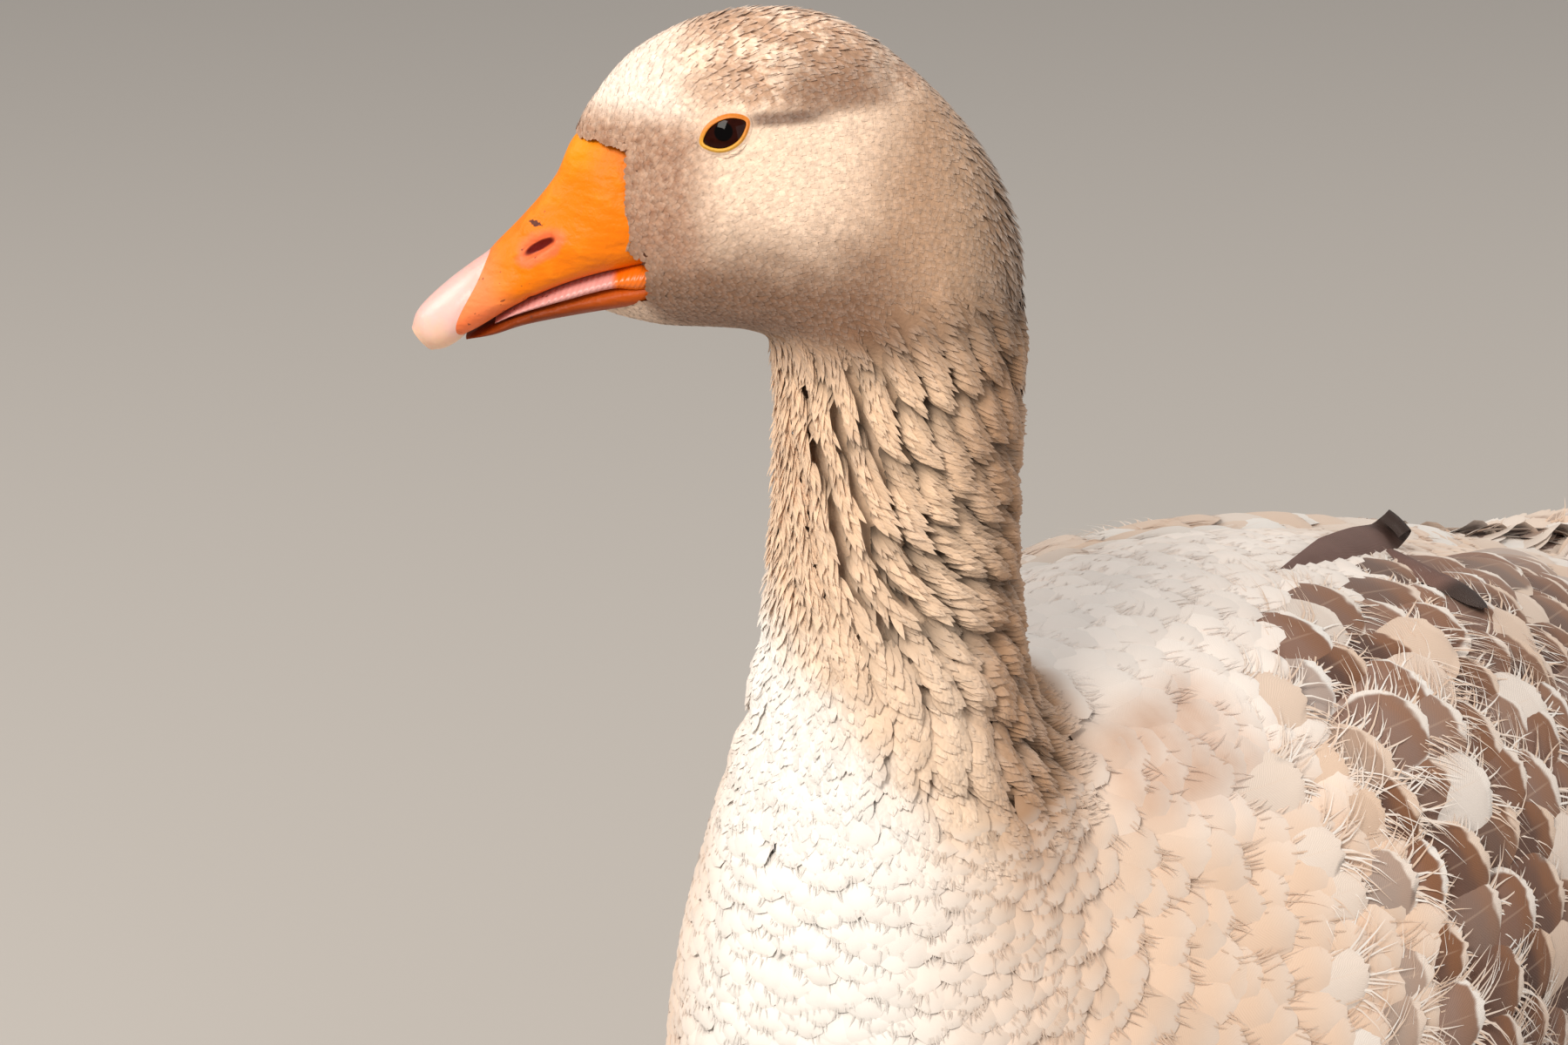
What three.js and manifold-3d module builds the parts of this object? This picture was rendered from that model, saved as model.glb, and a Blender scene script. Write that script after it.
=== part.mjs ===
// A domestic goose, life size, standing on both feet and looking to its right.
// Millimetres, +Z up. The body faces -Y and its left side is +X. The soles are at Z = 0.
import * as THREE from 'three';
import { mergeVertices } from 'three/addons/utils/BufferGeometryUtils.js';
import Module from 'manifold-3d';

const wasm = await Module();
wasm.setup();

// ---------------------------------------------------------------- driving dimensions
const BACK_HEIGHT = 388; // floor to the top of the back
const EYE_HEIGHT = 556; // floor to the middle of the eyes
const NECK_LINE = -150; // Y of the upright line that the neck and head turn about
const HEAD_TURN = 55; // degrees, to the bird's right
const TURN_START = 396; // height where the neck begins to turn
const TURN_END = 488; // height where the turn is complete
const RUMP_CUT = 200; // Y of the joint between trunk and tail
const GAP = 0.3; // clearance between pieces that meet

const MIDLINE_GAP = 0.6; // from each wing to the body's middle plane

const EYE = { side: 15.6, forward: 44.7, above: 5.5, radius: 7.4 }; // above the head's own level
const HEAD_LEVEL = EYE_HEIGHT - EYE.above;

const BODY_MESH = { rings: 40, sides: 20 };
const UPPER_BILL_MESH = { rings: 14, sides: 14 };
const LOWER_BILL_MESH = { rings: 8, sides: 12 };
const TONGUE_MESH = { rings: 6, sides: 8 };

const FOOT = { side: 54, back: 6, jointHeight: 20, soleTrim: 1.6 };
const HOCK = { side: 51, back: 24, height: 99 };

const COLOURS = {
  buff: 0xb89b7d,
  cream: 0xe6ddd0,
  white: 0xf0ece6,
  brown: 0x7d6a63,
  bill: 0xef8420,
  nail: 0xe9cbb8,
  tongue: 0xe3aeb0,
  eye: 0x1d0e0a,
  foot: 0xd9652b,
  claw: 0xcdb8a6,
};

// ---------------------------------------------------------------- outlines of the body
// Each row is one slice of the body, from a point on the back line to a point on the belly line.
// top and bottom are [Y, Z], half is the half width, skew moves the widest place towards the back line,
// full is under 1 for a fuller slice.
const rump = [
  { top: [290, 297], bottom: [286, 289], half: 22, skew: 0, full: 1 },
  { top: [246, 307], bottom: [238, 268], half: 40, skew: 0.1, full: 0.95 },
  { top: [203, 322], bottom: [192, 238], half: 56, skew: 0.1, full: 0.92 },
];
const trunk = [
  { top: [158, 339], bottom: [146, 202], half: 74, skew: 0.06, full: 0.9 },
  { top: [104, 358], bottom: [90, 166], half: 90, skew: 0.04, full: 0.87 },
  { top: [40, 376], bottom: [24, 146], half: 101, skew: 0.02, full: 0.85 },
  { top: [-25, BACK_HEIGHT - 2], bottom: [-46, 140], half: 105, skew: -0.02, full: 0.85 },
  { top: [-76, BACK_HEIGHT], bottom: [-110, 151], half: 98, skew: -0.06, full: 0.87 },
  { top: [-100, 391], bottom: [-158, 181], half: 84, skew: -0.12, full: 0.9 },
  { top: [-109, 396], bottom: [-189, 229], half: 67, skew: -0.16, full: 0.94 },
  { top: [-113, 403], bottom: [-202, 286], half: 54, skew: -0.14, full: 0.97 },
];
const neck = [
  { top: [-115, 414], bottom: [-200, 340], half: 43.5, skew: -0.1, full: 1 },
  { top: [-116.5, 432], bottom: [-193, 384], half: 36.5, skew: -0.04, full: 1 },
  { top: [-117, 457], bottom: [-186, 425], half: 32, skew: 0, full: 1 },
  { top: [-117, 482], bottom: [-182.5, 460], half: 30, skew: 0, full: 1 },
];

// The head's own places, u forward of the neck line and v above the head's level, as [Y, Z].
const headPoint = (u, v) => [NECK_LINE - u, HEAD_LEVEL + v];
const headRow = (top, bottom, half, skew) => ({
  top: headPoint(...top),
  bottom: headPoint(...bottom),
  half,
  skew,
  full: 0.95,
});
const head = [
  headRow([-33, -52], [32, -63], 29, 0),
  headRow([-28.5, -24], [34.5, -54], 28, -0.04),
  headRow([-19, -3], [40, -51.5], 27, -0.14),
  headRow([-2, 16.5], [46, -51], 26.5, -0.2),
  headRow([20, 30], [53, -51], 25.5, -0.2),
  headRow([45, 31], [60, -51], 22.5, -0.2),
  headRow([66, 22.5], [67, -50], 17, -0.22),
  headRow([79, 8], [73, -48.5], 13, -0.22),
  headRow([84.5, -4], [79.5, -46], 10.5, -0.25),
];

// ---------------------------------------------------------------- shape tools
const mix = (a, b, t) => a + (b - a) * t;

// A sine or cosine made blunter (power under 1), for slices between an ellipse and a box.
const rounded = (wave, power) => Math.sign(wave) * Math.abs(wave) ** power;

function smoothStep(value, low, high) {
  const t = THREE.MathUtils.clamp((value - low) / (high - low), 0, 1);
  return t * t * (3 - 2 * t);
}

// A bump of height 1 at 0 that fades to 0 at -1 and 1.
const bump = (value) => 1 - smoothStep(Math.abs(value), 0, 1);

// Catmull-Rom through a list of equal-length number rows, at a place from 0 to 1.
function rowAt(rows, place) {
  const last = rows.length - 1;
  const spot = THREE.MathUtils.clamp(place, 0, 1) * last;
  const index = Math.min(Math.floor(spot), last - 1);
  const t = spot - index;
  const near = (offset) => rows[THREE.MathUtils.clamp(index + offset, 0, last)];
  return near(0).map((value, column) => {
    const before = near(-1)[column];
    const after = near(1)[column];
    const beyond = near(2)[column];
    const slopeIn = (after - before) / 2;
    const slopeOut = (beyond - value) / 2;
    const cube = 2 * value - 2 * after + slopeIn + slopeOut;
    const square = 3 * after - 3 * value - 2 * slopeIn - slopeOut;
    return ((cube * t + square) * t + slopeIn) * t + value;
  });
}

// A closed solid through rings of equal count. The ends are closed by a fan to each ring's middle.
function loft(rings) {
  const sides = rings[0].length;
  const points = rings.flat();
  const faces = [];
  for (let ring = 0; ring < rings.length - 1; ring += 1) {
    for (let side = 0; side < sides; side += 1) {
      const next = (side + 1) % sides;
      const a = ring * sides + side;
      const b = ring * sides + next;
      const c = a + sides;
      const d = b + sides;
      faces.push(a, b, d, a, d, c);
    }
  }
  const middle = (ring) =>
    ring.reduce((sum, point) => sum.add(point), new THREE.Vector3()).divideScalar(sides);
  const first = points.push(middle(rings[0])) - 1;
  const last = points.push(middle(rings[rings.length - 1])) - 1;
  const lastRing = (rings.length - 1) * sides;
  for (let side = 0; side < sides; side += 1) {
    const next = (side + 1) % sides;
    faces.push(first, next, side);
    faces.push(last, lastRing + side, lastRing + next);
  }
  return facesOutward(points, faces);
}

// A geometry from points and faces, turned inside out if its volume comes out negative.
function facesOutward(points, faces) {
  let volume = 0;
  for (let i = 0; i < faces.length; i += 3) {
    const [a, b, c] = [points[faces[i]], points[faces[i + 1]], points[faces[i + 2]]];
    volume += a.dot(new THREE.Vector3().crossVectors(b, c));
  }
  const geometry = new THREE.BufferGeometry();
  const numbers = points.flatMap((point) => [point.x, point.y, point.z]);
  geometry.setAttribute('position', new THREE.Float32BufferAttribute(numbers, 3));
  geometry.setIndex(volume < 0 ? faces.toReversed() : faces);
  return geometry;
}

function solid(geometry) {
  const bare = geometry.clone();
  bare.deleteAttribute('normal');
  bare.deleteAttribute('uv');
  const merged = mergeVertices(bare, 1e-4);
  return new wasm.Manifold(
    new wasm.Mesh({
      numProp: 3,
      vertProperties: new Float32Array(merged.attributes.position.array),
      triVerts: new Uint32Array(merged.index.array),
    }),
  );
}

// The largest body of a solid, as a geometry.
function geometryOf(shape) {
  const bodies = shape.decompose().sort((a, b) => b.volume() - a.volume());
  const mesh = bodies[0].getMesh();
  const geometry = new THREE.BufferGeometry();
  geometry.setAttribute('position', new THREE.BufferAttribute(mesh.vertProperties, 3));
  geometry.setIndex(new THREE.BufferAttribute(mesh.triVerts, 1));
  return geometry;
}

function moved(geometry, change) {
  const result = geometry.clone();
  const position = result.attributes.position;
  const point = new THREE.Vector3();
  for (let i = 0; i < position.count; i += 1) {
    point.fromBufferAttribute(position, i);
    change(point);
    position.setXYZ(i, point.x, point.y, point.z);
  }
  return result;
}

function mirrored(geometry) {
  const result = moved(geometry, (point) => point.setX(-point.x));
  result.setIndex(Array.from(result.index.array).reverse());
  return result;
}

// A closed block between two sheets of points, each a list of rows.
function blockBetween(front, back) {
  const [rows, columns] = [front.length, front[0].length];
  const points = [...front.flat(), ...back.flat()];
  const layer = rows * columns;
  const faces = [];
  for (let row = 0; row < rows - 1; row += 1) {
    for (let column = 0; column < columns - 1; column += 1) {
      const a = row * columns + column;
      const [b, c, d] = [a + 1, a + columns + 1, a + columns];
      faces.push(a, b, c, a, c, d);
      faces.push(a + layer, c + layer, b + layer, a + layer, d + layer, c + layer);
    }
  }
  const rim = [];
  for (let i = 0; i < columns - 1; i += 1) rim.push(i);
  for (let i = 0; i < rows - 1; i += 1) rim.push((i + 1) * columns - 1);
  for (let i = columns - 1; i > 0; i -= 1) rim.push((rows - 1) * columns + i);
  for (let i = rows - 1; i > 0; i -= 1) rim.push(i * columns);
  rim.forEach((spot, i) => {
    const next = rim[(i + 1) % rim.length];
    faces.push(spot, spot + layer, next + layer, spot, next + layer, next);
  });
  return solid(facesOutward(points, faces));
}

// A grid of rows: pointAt takes the share along and across, each from 0 to 1.
function sheet(alongSteps, acrossSteps, pointAt) {
  const rows = [];
  for (let row = 0; row <= alongSteps; row += 1) {
    const points = [];
    for (let column = 0; column <= acrossSteps; column += 1) {
      points.push(pointAt(row / alongSteps, column / acrossSteps));
    }
    rows.push(points);
  }
  return rows;
}

// A block on one side of an upright curtain: edgeAt(x, z) gives the curtain's Y, end the block's far Y.
function curtainBlock(edgeAt, { low, high, halfWidth, steps }, end) {
  const place = (up, across) => [mix(-halfWidth, halfWidth, across), mix(low, high, up)];
  const curtain = sheet(steps, steps, (up, across) => {
    const [x, z] = place(up, across);
    return new THREE.Vector3(x, edgeAt(x, z), z);
  });
  const far = sheet(steps, steps, (up, across) => {
    const [x, z] = place(up, across);
    return new THREE.Vector3(x, end, z);
  });
  return blockBetween(curtain, far);
}

// A thin disc that parts a solid, through point and square to normal.
function knife(point, normal, radius) {
  const disc = new THREE.CylinderGeometry(radius, radius, GAP, 24);
  const turn = new THREE.Quaternion().setFromUnitVectors(
    new THREE.Vector3(0, 1, 0),
    new THREE.Vector3(...normal).normalize(),
  );
  disc.applyQuaternion(turn);
  disc.translate(...point);
  return solid(disc);
}

// Half of space as a large block, on the side of a plane that normal points to.
function halfSpace(point, normal) {
  const size = 900;
  const block = new THREE.BoxGeometry(size, size, size);
  block.translate(0, size / 2, 0);
  const turn = new THREE.Quaternion().setFromUnitVectors(
    new THREE.Vector3(0, 1, 0),
    new THREE.Vector3(...normal).normalize(),
  );
  block.applyQuaternion(turn);
  block.translate(...point);
  return solid(block);
}

const ball = (radius, x, y, z) => solid(new THREE.SphereGeometry(radius, 14, 9).translate(x, y, z));

// ---------------------------------------------------------------- body, from rump to forehead
const rowNumbers = ({ top, bottom, half, skew, full }) => [...top, ...bottom, half, skew, full];

// A point on one slice, at an angle from the back line round the left side, grown outwards a little.
function slicePoint([topY, topZ, bottomY, bottomZ, half, skew, full], angle, grow = 0) {
  const depth = Math.hypot(bottomY - topY, bottomZ - topZ);
  const along = 0.5 - (0.5 + grow / depth) * Math.cos(angle);
  const out = rounded(Math.sin(angle), full);
  const x = (half + grow) * out * (1 + skew * Math.cos(angle));
  return new THREE.Vector3(x, mix(topY, bottomY, along), mix(topZ, bottomZ, along));
}

function bodyRing(row, sides, grow) {
  const ring = [];
  for (let side = 0; side < sides; side += 1) ring.push(slicePoint(row, (2 * Math.PI * side) / sides, grow));
  return ring;
}

function twoRailLoft(rows, mesh, grow = 0) {
  const slices = [];
  for (let i = 0; i <= mesh.rings; i += 1) {
    slices.push(bodyRing(rowAt(rows, i / mesh.rings), mesh.sides, grow));
  }
  return solid(loft(slices));
}

const bodyRows = [...rump, ...trunk, ...neck, ...head].map(rowNumbers);
const GROWN_GAP = GAP + 0.05;
const body = twoRailLoft(bodyRows, BODY_MESH);
const bodyGrown = twoRailLoft(bodyRows, BODY_MESH, GROWN_GAP);

// ---------------------------------------------------------------- edge of the feathers at the bill
// The feathers reach forward in a point on the forehead and again under the chin. Above the bill's
// root the whole forehead is feathered. from and to are the levels where a reach sets in and is full.
const FEATHERS = {
  cheek: 69, // forward of the neck line
  forehead: { reach: 12.5, halfWidth: 11, from: -14, to: -3 },
  brow: { reach: 14, from: -3, to: 5 },
  chin: { reach: 10, halfWidth: 14, from: -41.5, to: -47.5 },
  gape: { notch: 5, level: -35, halfHeight: 8 },
};
function featherEdge(x, z) {
  const { cheek, forehead, brow, chin, gape } = FEATHERS;
  const v = z - HEAD_LEVEL;
  const foreheadReach =
    forehead.reach * bump(x / forehead.halfWidth) * smoothStep(v, forehead.from, forehead.to);
  const browReach = brow.reach * smoothStep(v, brow.from, brow.to);
  const chinReach = chin.reach * bump(x / chin.halfWidth) * smoothStep(-v, -chin.from, -chin.to);
  const gapeNotch = gape.notch * bump((v - gape.level) / gape.halfHeight);
  return NECK_LINE - (cheek + foreheadReach + browReach + chinReach - gapeNotch);
}
const EDGE_SPAN = { low: HEAD_LEVEL - 64, high: HEAD_LEVEL + 40, halfWidth: 24, steps: 12 };
const EDGE_REACH = 170; // how far ahead of the neck line the curtain's block runs
const aheadOfEdge = curtainBlock(featherEdge, EDGE_SPAN, NECK_LINE - EDGE_REACH);
const behindEdge = curtainBlock((x, z) => featherEdge(x, z) - GAP, EDGE_SPAN, NECK_LINE);

// ---------------------------------------------------------------- bill
const billRow = (top, bottom, half, skew, full) => ({
  top: headPoint(...top),
  bottom: headPoint(...bottom),
  half,
  skew,
  full,
});
const upperBill = [
  billRow([66, 4], [56, -32.6], 15.5, -0.3, 0.8),
  billRow([81.6, 0], [63, -33.6], 15.3, -0.34, 0.8),
  billRow([88.5, -12.5], [76, -35.8], 14.4, -0.36, 0.8),
  billRow([97, -23], [87.5, -39.6], 13, -0.32, 0.8),
  billRow([107, -33], [98, -44.6], 11.8, -0.26, 0.8),
  billRow([116.5, -41], [107.5, -50.8], 10.4, -0.2, 0.85),
  billRow([123.8, -48], [115.5, -56], 7.8, -0.1, 0.9),
  billRow([126, -52.5], [120.5, -58.6], 3.8, 0, 1),
];
const lowerBill = [
  billRow([56, -35.6], [56, -42.6], 10.5, 0.1, 0.9),
  billRow([69, -38.2], [70, -44.6], 11, 0.1, 0.9),
  billRow([82, -41.4], [83, -47.2], 10.4, 0.1, 0.9),
  billRow([96, -46], [96, -50.2], 9, 0.1, 0.9),
  billRow([105, -50.6], [104.5, -53.4], 7, 0.1, 0.9),
  billRow([112, -54.6], [111.5, -55.2], 3, 0, 1),
];
const tongue = [
  billRow([60, -34.2], [60, -35.6], 9, 0, 0.8),
  billRow([72, -35.4], [72, -38.6], 11.4, 0, 0.8),
  billRow([86, -39.2], [86, -42.4], 10.8, 0, 0.8),
  billRow([98, -44.8], [98, -46.8], 8.8, 0, 0.8),
  billRow([104, -48.8], [104, -49.8], 6.6, 0, 1),
];

const upperForm = twoRailLoft(upperBill.map(rowNumbers), UPPER_BILL_MESH);
const upperGrown = twoRailLoft(upperBill.map(rowNumbers), UPPER_BILL_MESH, GAP);

// The nail's rear edge is a curve across the bill, furthest back on the ridge.
const NAIL = { edge: 105.5, curve: 0.045, lowEdge: 5.6, from: 36, to: 56 };
function nailEdge(x, z) {
  const lowReach = NAIL.lowEdge * smoothStep(HEAD_LEVEL - z, NAIL.from, NAIL.to);
  return NECK_LINE - (NAIL.edge + NAIL.curve * x * x + lowReach);
}
const NAIL_SPAN = { low: HEAD_LEVEL - 80, high: HEAD_LEVEL + 20, halfWidth: 20, steps: 8 };
const NAIL_REACH = { ahead: 150, behind: 50 };
const aheadOfNail = curtainBlock(nailEdge, NAIL_SPAN, NECK_LINE - NAIL_REACH.ahead);
const behindNail = curtainBlock((x, z) => nailEdge(x, z) - GAP, NAIL_SPAN, NECK_LINE - NAIL_REACH.behind);

const NOSTRIL = { side: 9.6, forward: 92.4, below: 31, radii: [1.6, 4.4, 1.5], slope: 32 };
function nostril(side) {
  const slot = new THREE.SphereGeometry(1, 12, 8);
  slot.scale(...NOSTRIL.radii);
  slot.rotateX(THREE.MathUtils.degToRad(NOSTRIL.slope));
  slot.translate(side * NOSTRIL.side, ...headPoint(NOSTRIL.forward, -NOSTRIL.below));
  return solid(slot);
}

const upperWhole = upperForm.subtract(behindEdge).subtract(nostril(1)).subtract(nostril(-1));
const nailForm = upperForm.subtract(behindNail);
const lowerForm = twoRailLoft(lowerBill.map(rowNumbers), LOWER_BILL_MESH);
const lowerGrown = twoRailLoft(lowerBill.map(rowNumbers), LOWER_BILL_MESH, GAP);
const tongueForm = twoRailLoft(tongue.map(rowNumbers), TONGUE_MESH);

// ---------------------------------------------------------------- head, neck and trunk
const eyeBall = (side, grow) =>
  ball(EYE.radius + grow, side * EYE.side, ...headPoint(EYE.forward, EYE.above));

const HEAD_CUT = { point: [0, ...headPoint(0, -57)], normal: [0, -0.17, 1] };
const NECK_CUTS = [458, 424];
const BREAST_CUT = { point: [0, -160, 366], normal: [0, -0.55, 0.83] };

const upright = [0, 0, 1];
const NECK_KNIFE = 70; // radius of a disc that cuts the neck
const BREAST_KNIFE = 110;
const cuts = [
  knife(HEAD_CUT.point, HEAD_CUT.normal, NECK_KNIFE),
  ...NECK_CUTS.map((height) => knife([0, NECK_LINE, height], upright, NECK_KNIFE)),
  knife(BREAST_CUT.point, BREAST_CUT.normal, BREAST_KNIFE),
];
const rumpKnife = halfSpace([0, RUMP_CUT, 0], [0, 1, 0]);
const heightOf = (shape) => {
  const { min, max } = shape.boundingBox();
  return (min[2] + max[2]) / 2;
};
const bodyPieces = cuts
  .reduce((shape, cut) => shape.subtract(cut), body.subtract(aheadOfEdge).subtract(rumpKnife))
  .decompose()
  .sort((a, b) => heightOf(b) - heightOf(a));
const [headWhole, neckUpper, neckMiddle, neckLower, trunkWhole] = bodyPieces;
const headPiece = headWhole.subtract(eyeBall(1, GAP)).subtract(eyeBall(-1, GAP));

// ---------------------------------------------------------------- tail
const TAIL = {
  root: [0, 150, 290], // where the tail feathers fan out from
  inner: 30,
  length: 186,
  spread: 21, // degrees each side
  rise: 0.5, // degrees above level
  droop: 7, // of the outermost feathers' tips
  rounding: 16, // how much shorter the outermost feathers are
  scallop: 5,
  feathers: 9,
  above: { thickness: 12, taper: 0.7 }, // at the rump, where the coverts cover it
  below: { thickness: 16, taper: 0.85 },
  edge: 1.6, // thickness at the feather tips, above and below the middle
  thinning: 0.75, // how much thinner the fan is at its sides
  steps: 4,
};

// One slice of the tail at a fan angle, out along its upper face and back along its lower face.
function tailSlice(angle, grow) {
  const share = angle / TAIL.spread;
  const wave = Math.abs(Math.sin((share * TAIL.feathers * Math.PI) / 2));
  const reach = TAIL.length - TAIL.rounding * share * share - TAIL.scallop * wave + grow;
  const side = Math.sqrt(1 - TAIL.thinning * share * share);
  const turn = THREE.MathUtils.degToRad(angle);
  const slope = Math.tan(THREE.MathUtils.degToRad(TAIL.rise));
  const place = (along, face, sign) => {
    const distance = mix(TAIL.inner, reach, along);
    const thick = mix(face.thickness, TAIL.edge, along ** face.taper) * side + grow;
    return new THREE.Vector3(
      Math.sin(turn) * distance,
      TAIL.root[1] + Math.cos(turn) * distance,
      TAIL.root[2] + slope * distance + sign * thick - TAIL.droop * share * share * along,
    );
  };
  const slice = [];
  for (let i = 0; i <= TAIL.steps; i += 1) slice.push(place(i / TAIL.steps, TAIL.above, 1));
  for (let i = TAIL.steps; i >= 0; i -= 1) slice.push(place(i / TAIL.steps, TAIL.below, -1));
  return slice;
}

function tailForm(grow) {
  const slices = [];
  const steps = TAIL.feathers * 2;
  const span = TAIL.spread;
  for (let i = 0; i <= steps; i += 1) slices.push(tailSlice(mix(-span, span, i / steps), grow));
  return solid(loft(slices));
}
const tailPiece = tailForm(0).add(body).intersect(halfSpace([0, RUMP_CUT + GAP, 0], [0, 1, 0]));

// ---------------------------------------------------------------- wings
// A folded wing lies on the body as two pads: the thick coverts, and below and behind them the flight
// feathers. Each row, from the wing's tip to its shoulder, gives the pad's upper and lower edge in
// degrees down from the back line, and its thickness. A span is counted in the body's own rows.
const PAD = {
  lift: 1.5, // least thickness of a pad over the body
  crown: 0.28, // share of the thickness that is left at the upper edge
  crownPlace: 1.4,
  endShare: 0.3, // share of the thickness that is left at the tip and shoulder
  tipRise: 4,
  shoulderRise: 3,
};
const coverts = {
  rows: [
    [6, 30, 4],
    [9, 54, 8],
    [14, 78, 12],
    [20, 96, 17],
    [27, 108, 21],
    [34, 114, 22],
    [42, 114, 21],
    [52, 106, 16],
    [64, 90, 8],
  ],
  span: { tip: 1.3, shoulder: 7.5, depth: 9, alongSteps: 13, acrossSteps: 7 },
};
const flightFeathers = {
  rows: [
    [10, 26, 2],
    [14, 52, 3],
    [22, 84, 5],
    [40, 108, 6],
    [66, 121, 6],
    [90, 122, 5],
  ],
  span: { tip: 0.3, shoulder: 5.2, depth: 8, alongSteps: 10, acrossSteps: 4 },
};

function padPoint({ rows, span }, along, across, outer) {
  const [upper, lower, thickness] = rowAt(rows, along);
  const place = mix(span.tip, span.shoulder, along) / (bodyRows.length - 1);
  const angle = THREE.MathUtils.degToRad(mix(upper, lower, across));
  const nearby = 0.004;
  const row = rowAt(bodyRows, place);
  const point = slicePoint(row, angle);
  const ahead = slicePoint(rowAt(bodyRows, place + nearby), angle).sub(point);
  const round = slicePoint(row, angle + nearby).sub(point);
  const outward = ahead.cross(round).normalize();
  if (outward.x < 0) outward.negate();
  const crown = mix(PAD.crown, 1, Math.sin(Math.PI * across ** PAD.crownPlace));
  const tipEnd = PAD.tipRise * along + PAD.endShare;
  const shoulderEnd = PAD.shoulderRise * (1 - along) + PAD.endShare;
  const height = PAD.lift + thickness * crown * Math.min(1, tipEnd, shoulderEnd);
  return point.addScaledVector(outward, outer ? height : -span.depth);
}

function padSolid(pad) {
  const { alongSteps, acrossSteps } = pad.span;
  const face = (outer) =>
    sheet(alongSteps, acrossSteps, (along, across) => padPoint(pad, along, across, outer));
  return blockBetween(face(true), face(false));
}

const sided = (shape, side) => (side > 0 ? shape : solid(mirrored(geometryOf(shape))));
const wingForm = padSolid(coverts).add(padSolid(flightFeathers));

function wing(side) {
  return sided(wingForm, side)
    .subtract(bodyGrown)
    .subtract(tailForm(GAP))
    .subtract(halfSpace([side * MIDLINE_GAP, 0, 0], [-side, 0, 0]));
}

// ---------------------------------------------------------------- legs
// A tube through rows of [X, Y, Z, radius across, radius fore and aft].
function limb(rows, mesh) {
  const slices = [];
  for (let i = 0; i <= mesh.rings; i += 1) {
    const [x, y, z, across, deep] = rowAt(rows, i / mesh.rings);
    const ring = [];
    for (let side = 0; side < mesh.sides; side += 1) {
      const angle = (2 * Math.PI * side) / mesh.sides;
      ring.push(new THREE.Vector3(x + across * Math.cos(angle), y + deep * Math.sin(angle), z));
    }
    slices.push(ring);
  }
  return solid(loft(slices));
}

const THIGH_END = HOCK.height + 5; // where the feathered thigh ends and the bare shank starts
const thighRows = [
  [60, -14, 192, 33, 50],
  [60, -9, 172, 30, 44],
  [57, 3, 148, 24, 33],
  [53, 16, 127, 15, 19],
  [HOCK.side, HOCK.back, THIGH_END, 10, 11],
];
const shankRows = [
  [HOCK.side, HOCK.back, HOCK.height + 12, 8.5, 9],
  [HOCK.side, HOCK.back, HOCK.height, 9.4, 10.6],
  [HOCK.side + 0.4, HOCK.back - 3, HOCK.height - 16, 7.6, 9],
  [HOCK.side + 1.2, HOCK.back - 9, 54, 6.8, 8.2],
  [FOOT.side - 1, FOOT.back + 5, 30, 7.6, 8.6],
  [FOOT.side, FOOT.back + 1, 14, 8.6, 9],
  [FOOT.side, FOOT.back - 2, 5, 9, 10],
];

// Toes: heading in degrees outward from straight ahead, length and radius at the root.
const TOES = {
  inner: { heading: -27, length: 60, radius: 5.4 },
  middle: { heading: 1, length: 82, radius: 5.8 },
  outer: { heading: 28, length: 74, radius: 5.4 },
};
const TOE_SHAPE = { taper: 0.42, knuckle: 0.09, knuckles: 3, rings: 6, sides: 8 };
const HIND_TOE = { heading: 158, length: 17, radius: 3.4, taper: 0.25, height: 13, tipHeight: 5 };
const WEB = { heel: 4, short: 4, sag: 0.2, low: 0.6, thickness: 2.2, curveSteps: 4 };
const CLAW = { length: 9, root: 2.7, tip: 0.5, taper: 0.7, tipHeight: 1.2, drop: 1.4, hindSize: 0.6 };
const CLAW_LIFT = 0.6; // of a front claw's root above the middle of its toe's end

// A toe or claw is a tube along level ground: along runs from 0 at its root to 1 at its tip.
function toeTube({ start, heading, length, radiusAt, heightAt, rings, sides }) {
  const turn = THREE.MathUtils.degToRad(heading);
  const ahead = new THREE.Vector3(Math.sin(turn), -Math.cos(turn), 0);
  const across = new THREE.Vector3(Math.cos(turn), Math.sin(turn), 0);
  const rows = [];
  for (let i = 0; i <= rings; i += 1) {
    const along = i / rings;
    const middle = start.clone().addScaledVector(ahead, along * length);
    middle.z = heightAt(along);
    const ring = [];
    for (let side = 0; side < sides; side += 1) {
      const angle = (2 * Math.PI * side) / sides;
      const point = middle.clone().addScaledVector(across, radiusAt(along) * Math.cos(angle));
      point.z += radiusAt(along) * Math.sin(angle);
      ring.push(point);
    }
    rows.push(ring);
  }
  return solid(loft(rows));
}

const footCentre = new THREE.Vector3(FOOT.side, FOOT.back, 0);
const toeRadius = (toe) => (along) =>
  toe.radius * (1 - TOE_SHAPE.taper * along) *
  (1 + TOE_SHAPE.knuckle * Math.cos(2 * Math.PI * TOE_SHAPE.knuckles * along));
const toeEnd = ({ heading, length }, beyond = 0) => {
  const turn = THREE.MathUtils.degToRad(heading);
  const reach = length + beyond;
  return footCentre.clone().add(new THREE.Vector3(Math.sin(turn) * reach, -Math.cos(turn) * reach, 0));
};

function frontToe(toe) {
  const radiusAt = toeRadius(toe);
  return toeTube({
    start: footCentre,
    heading: toe.heading,
    length: toe.length,
    radiusAt,
    heightAt: (along) => radiusAt(along) - FOOT.soleTrim,
    rings: TOE_SHAPE.rings,
    sides: TOE_SHAPE.sides,
  });
}

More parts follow.
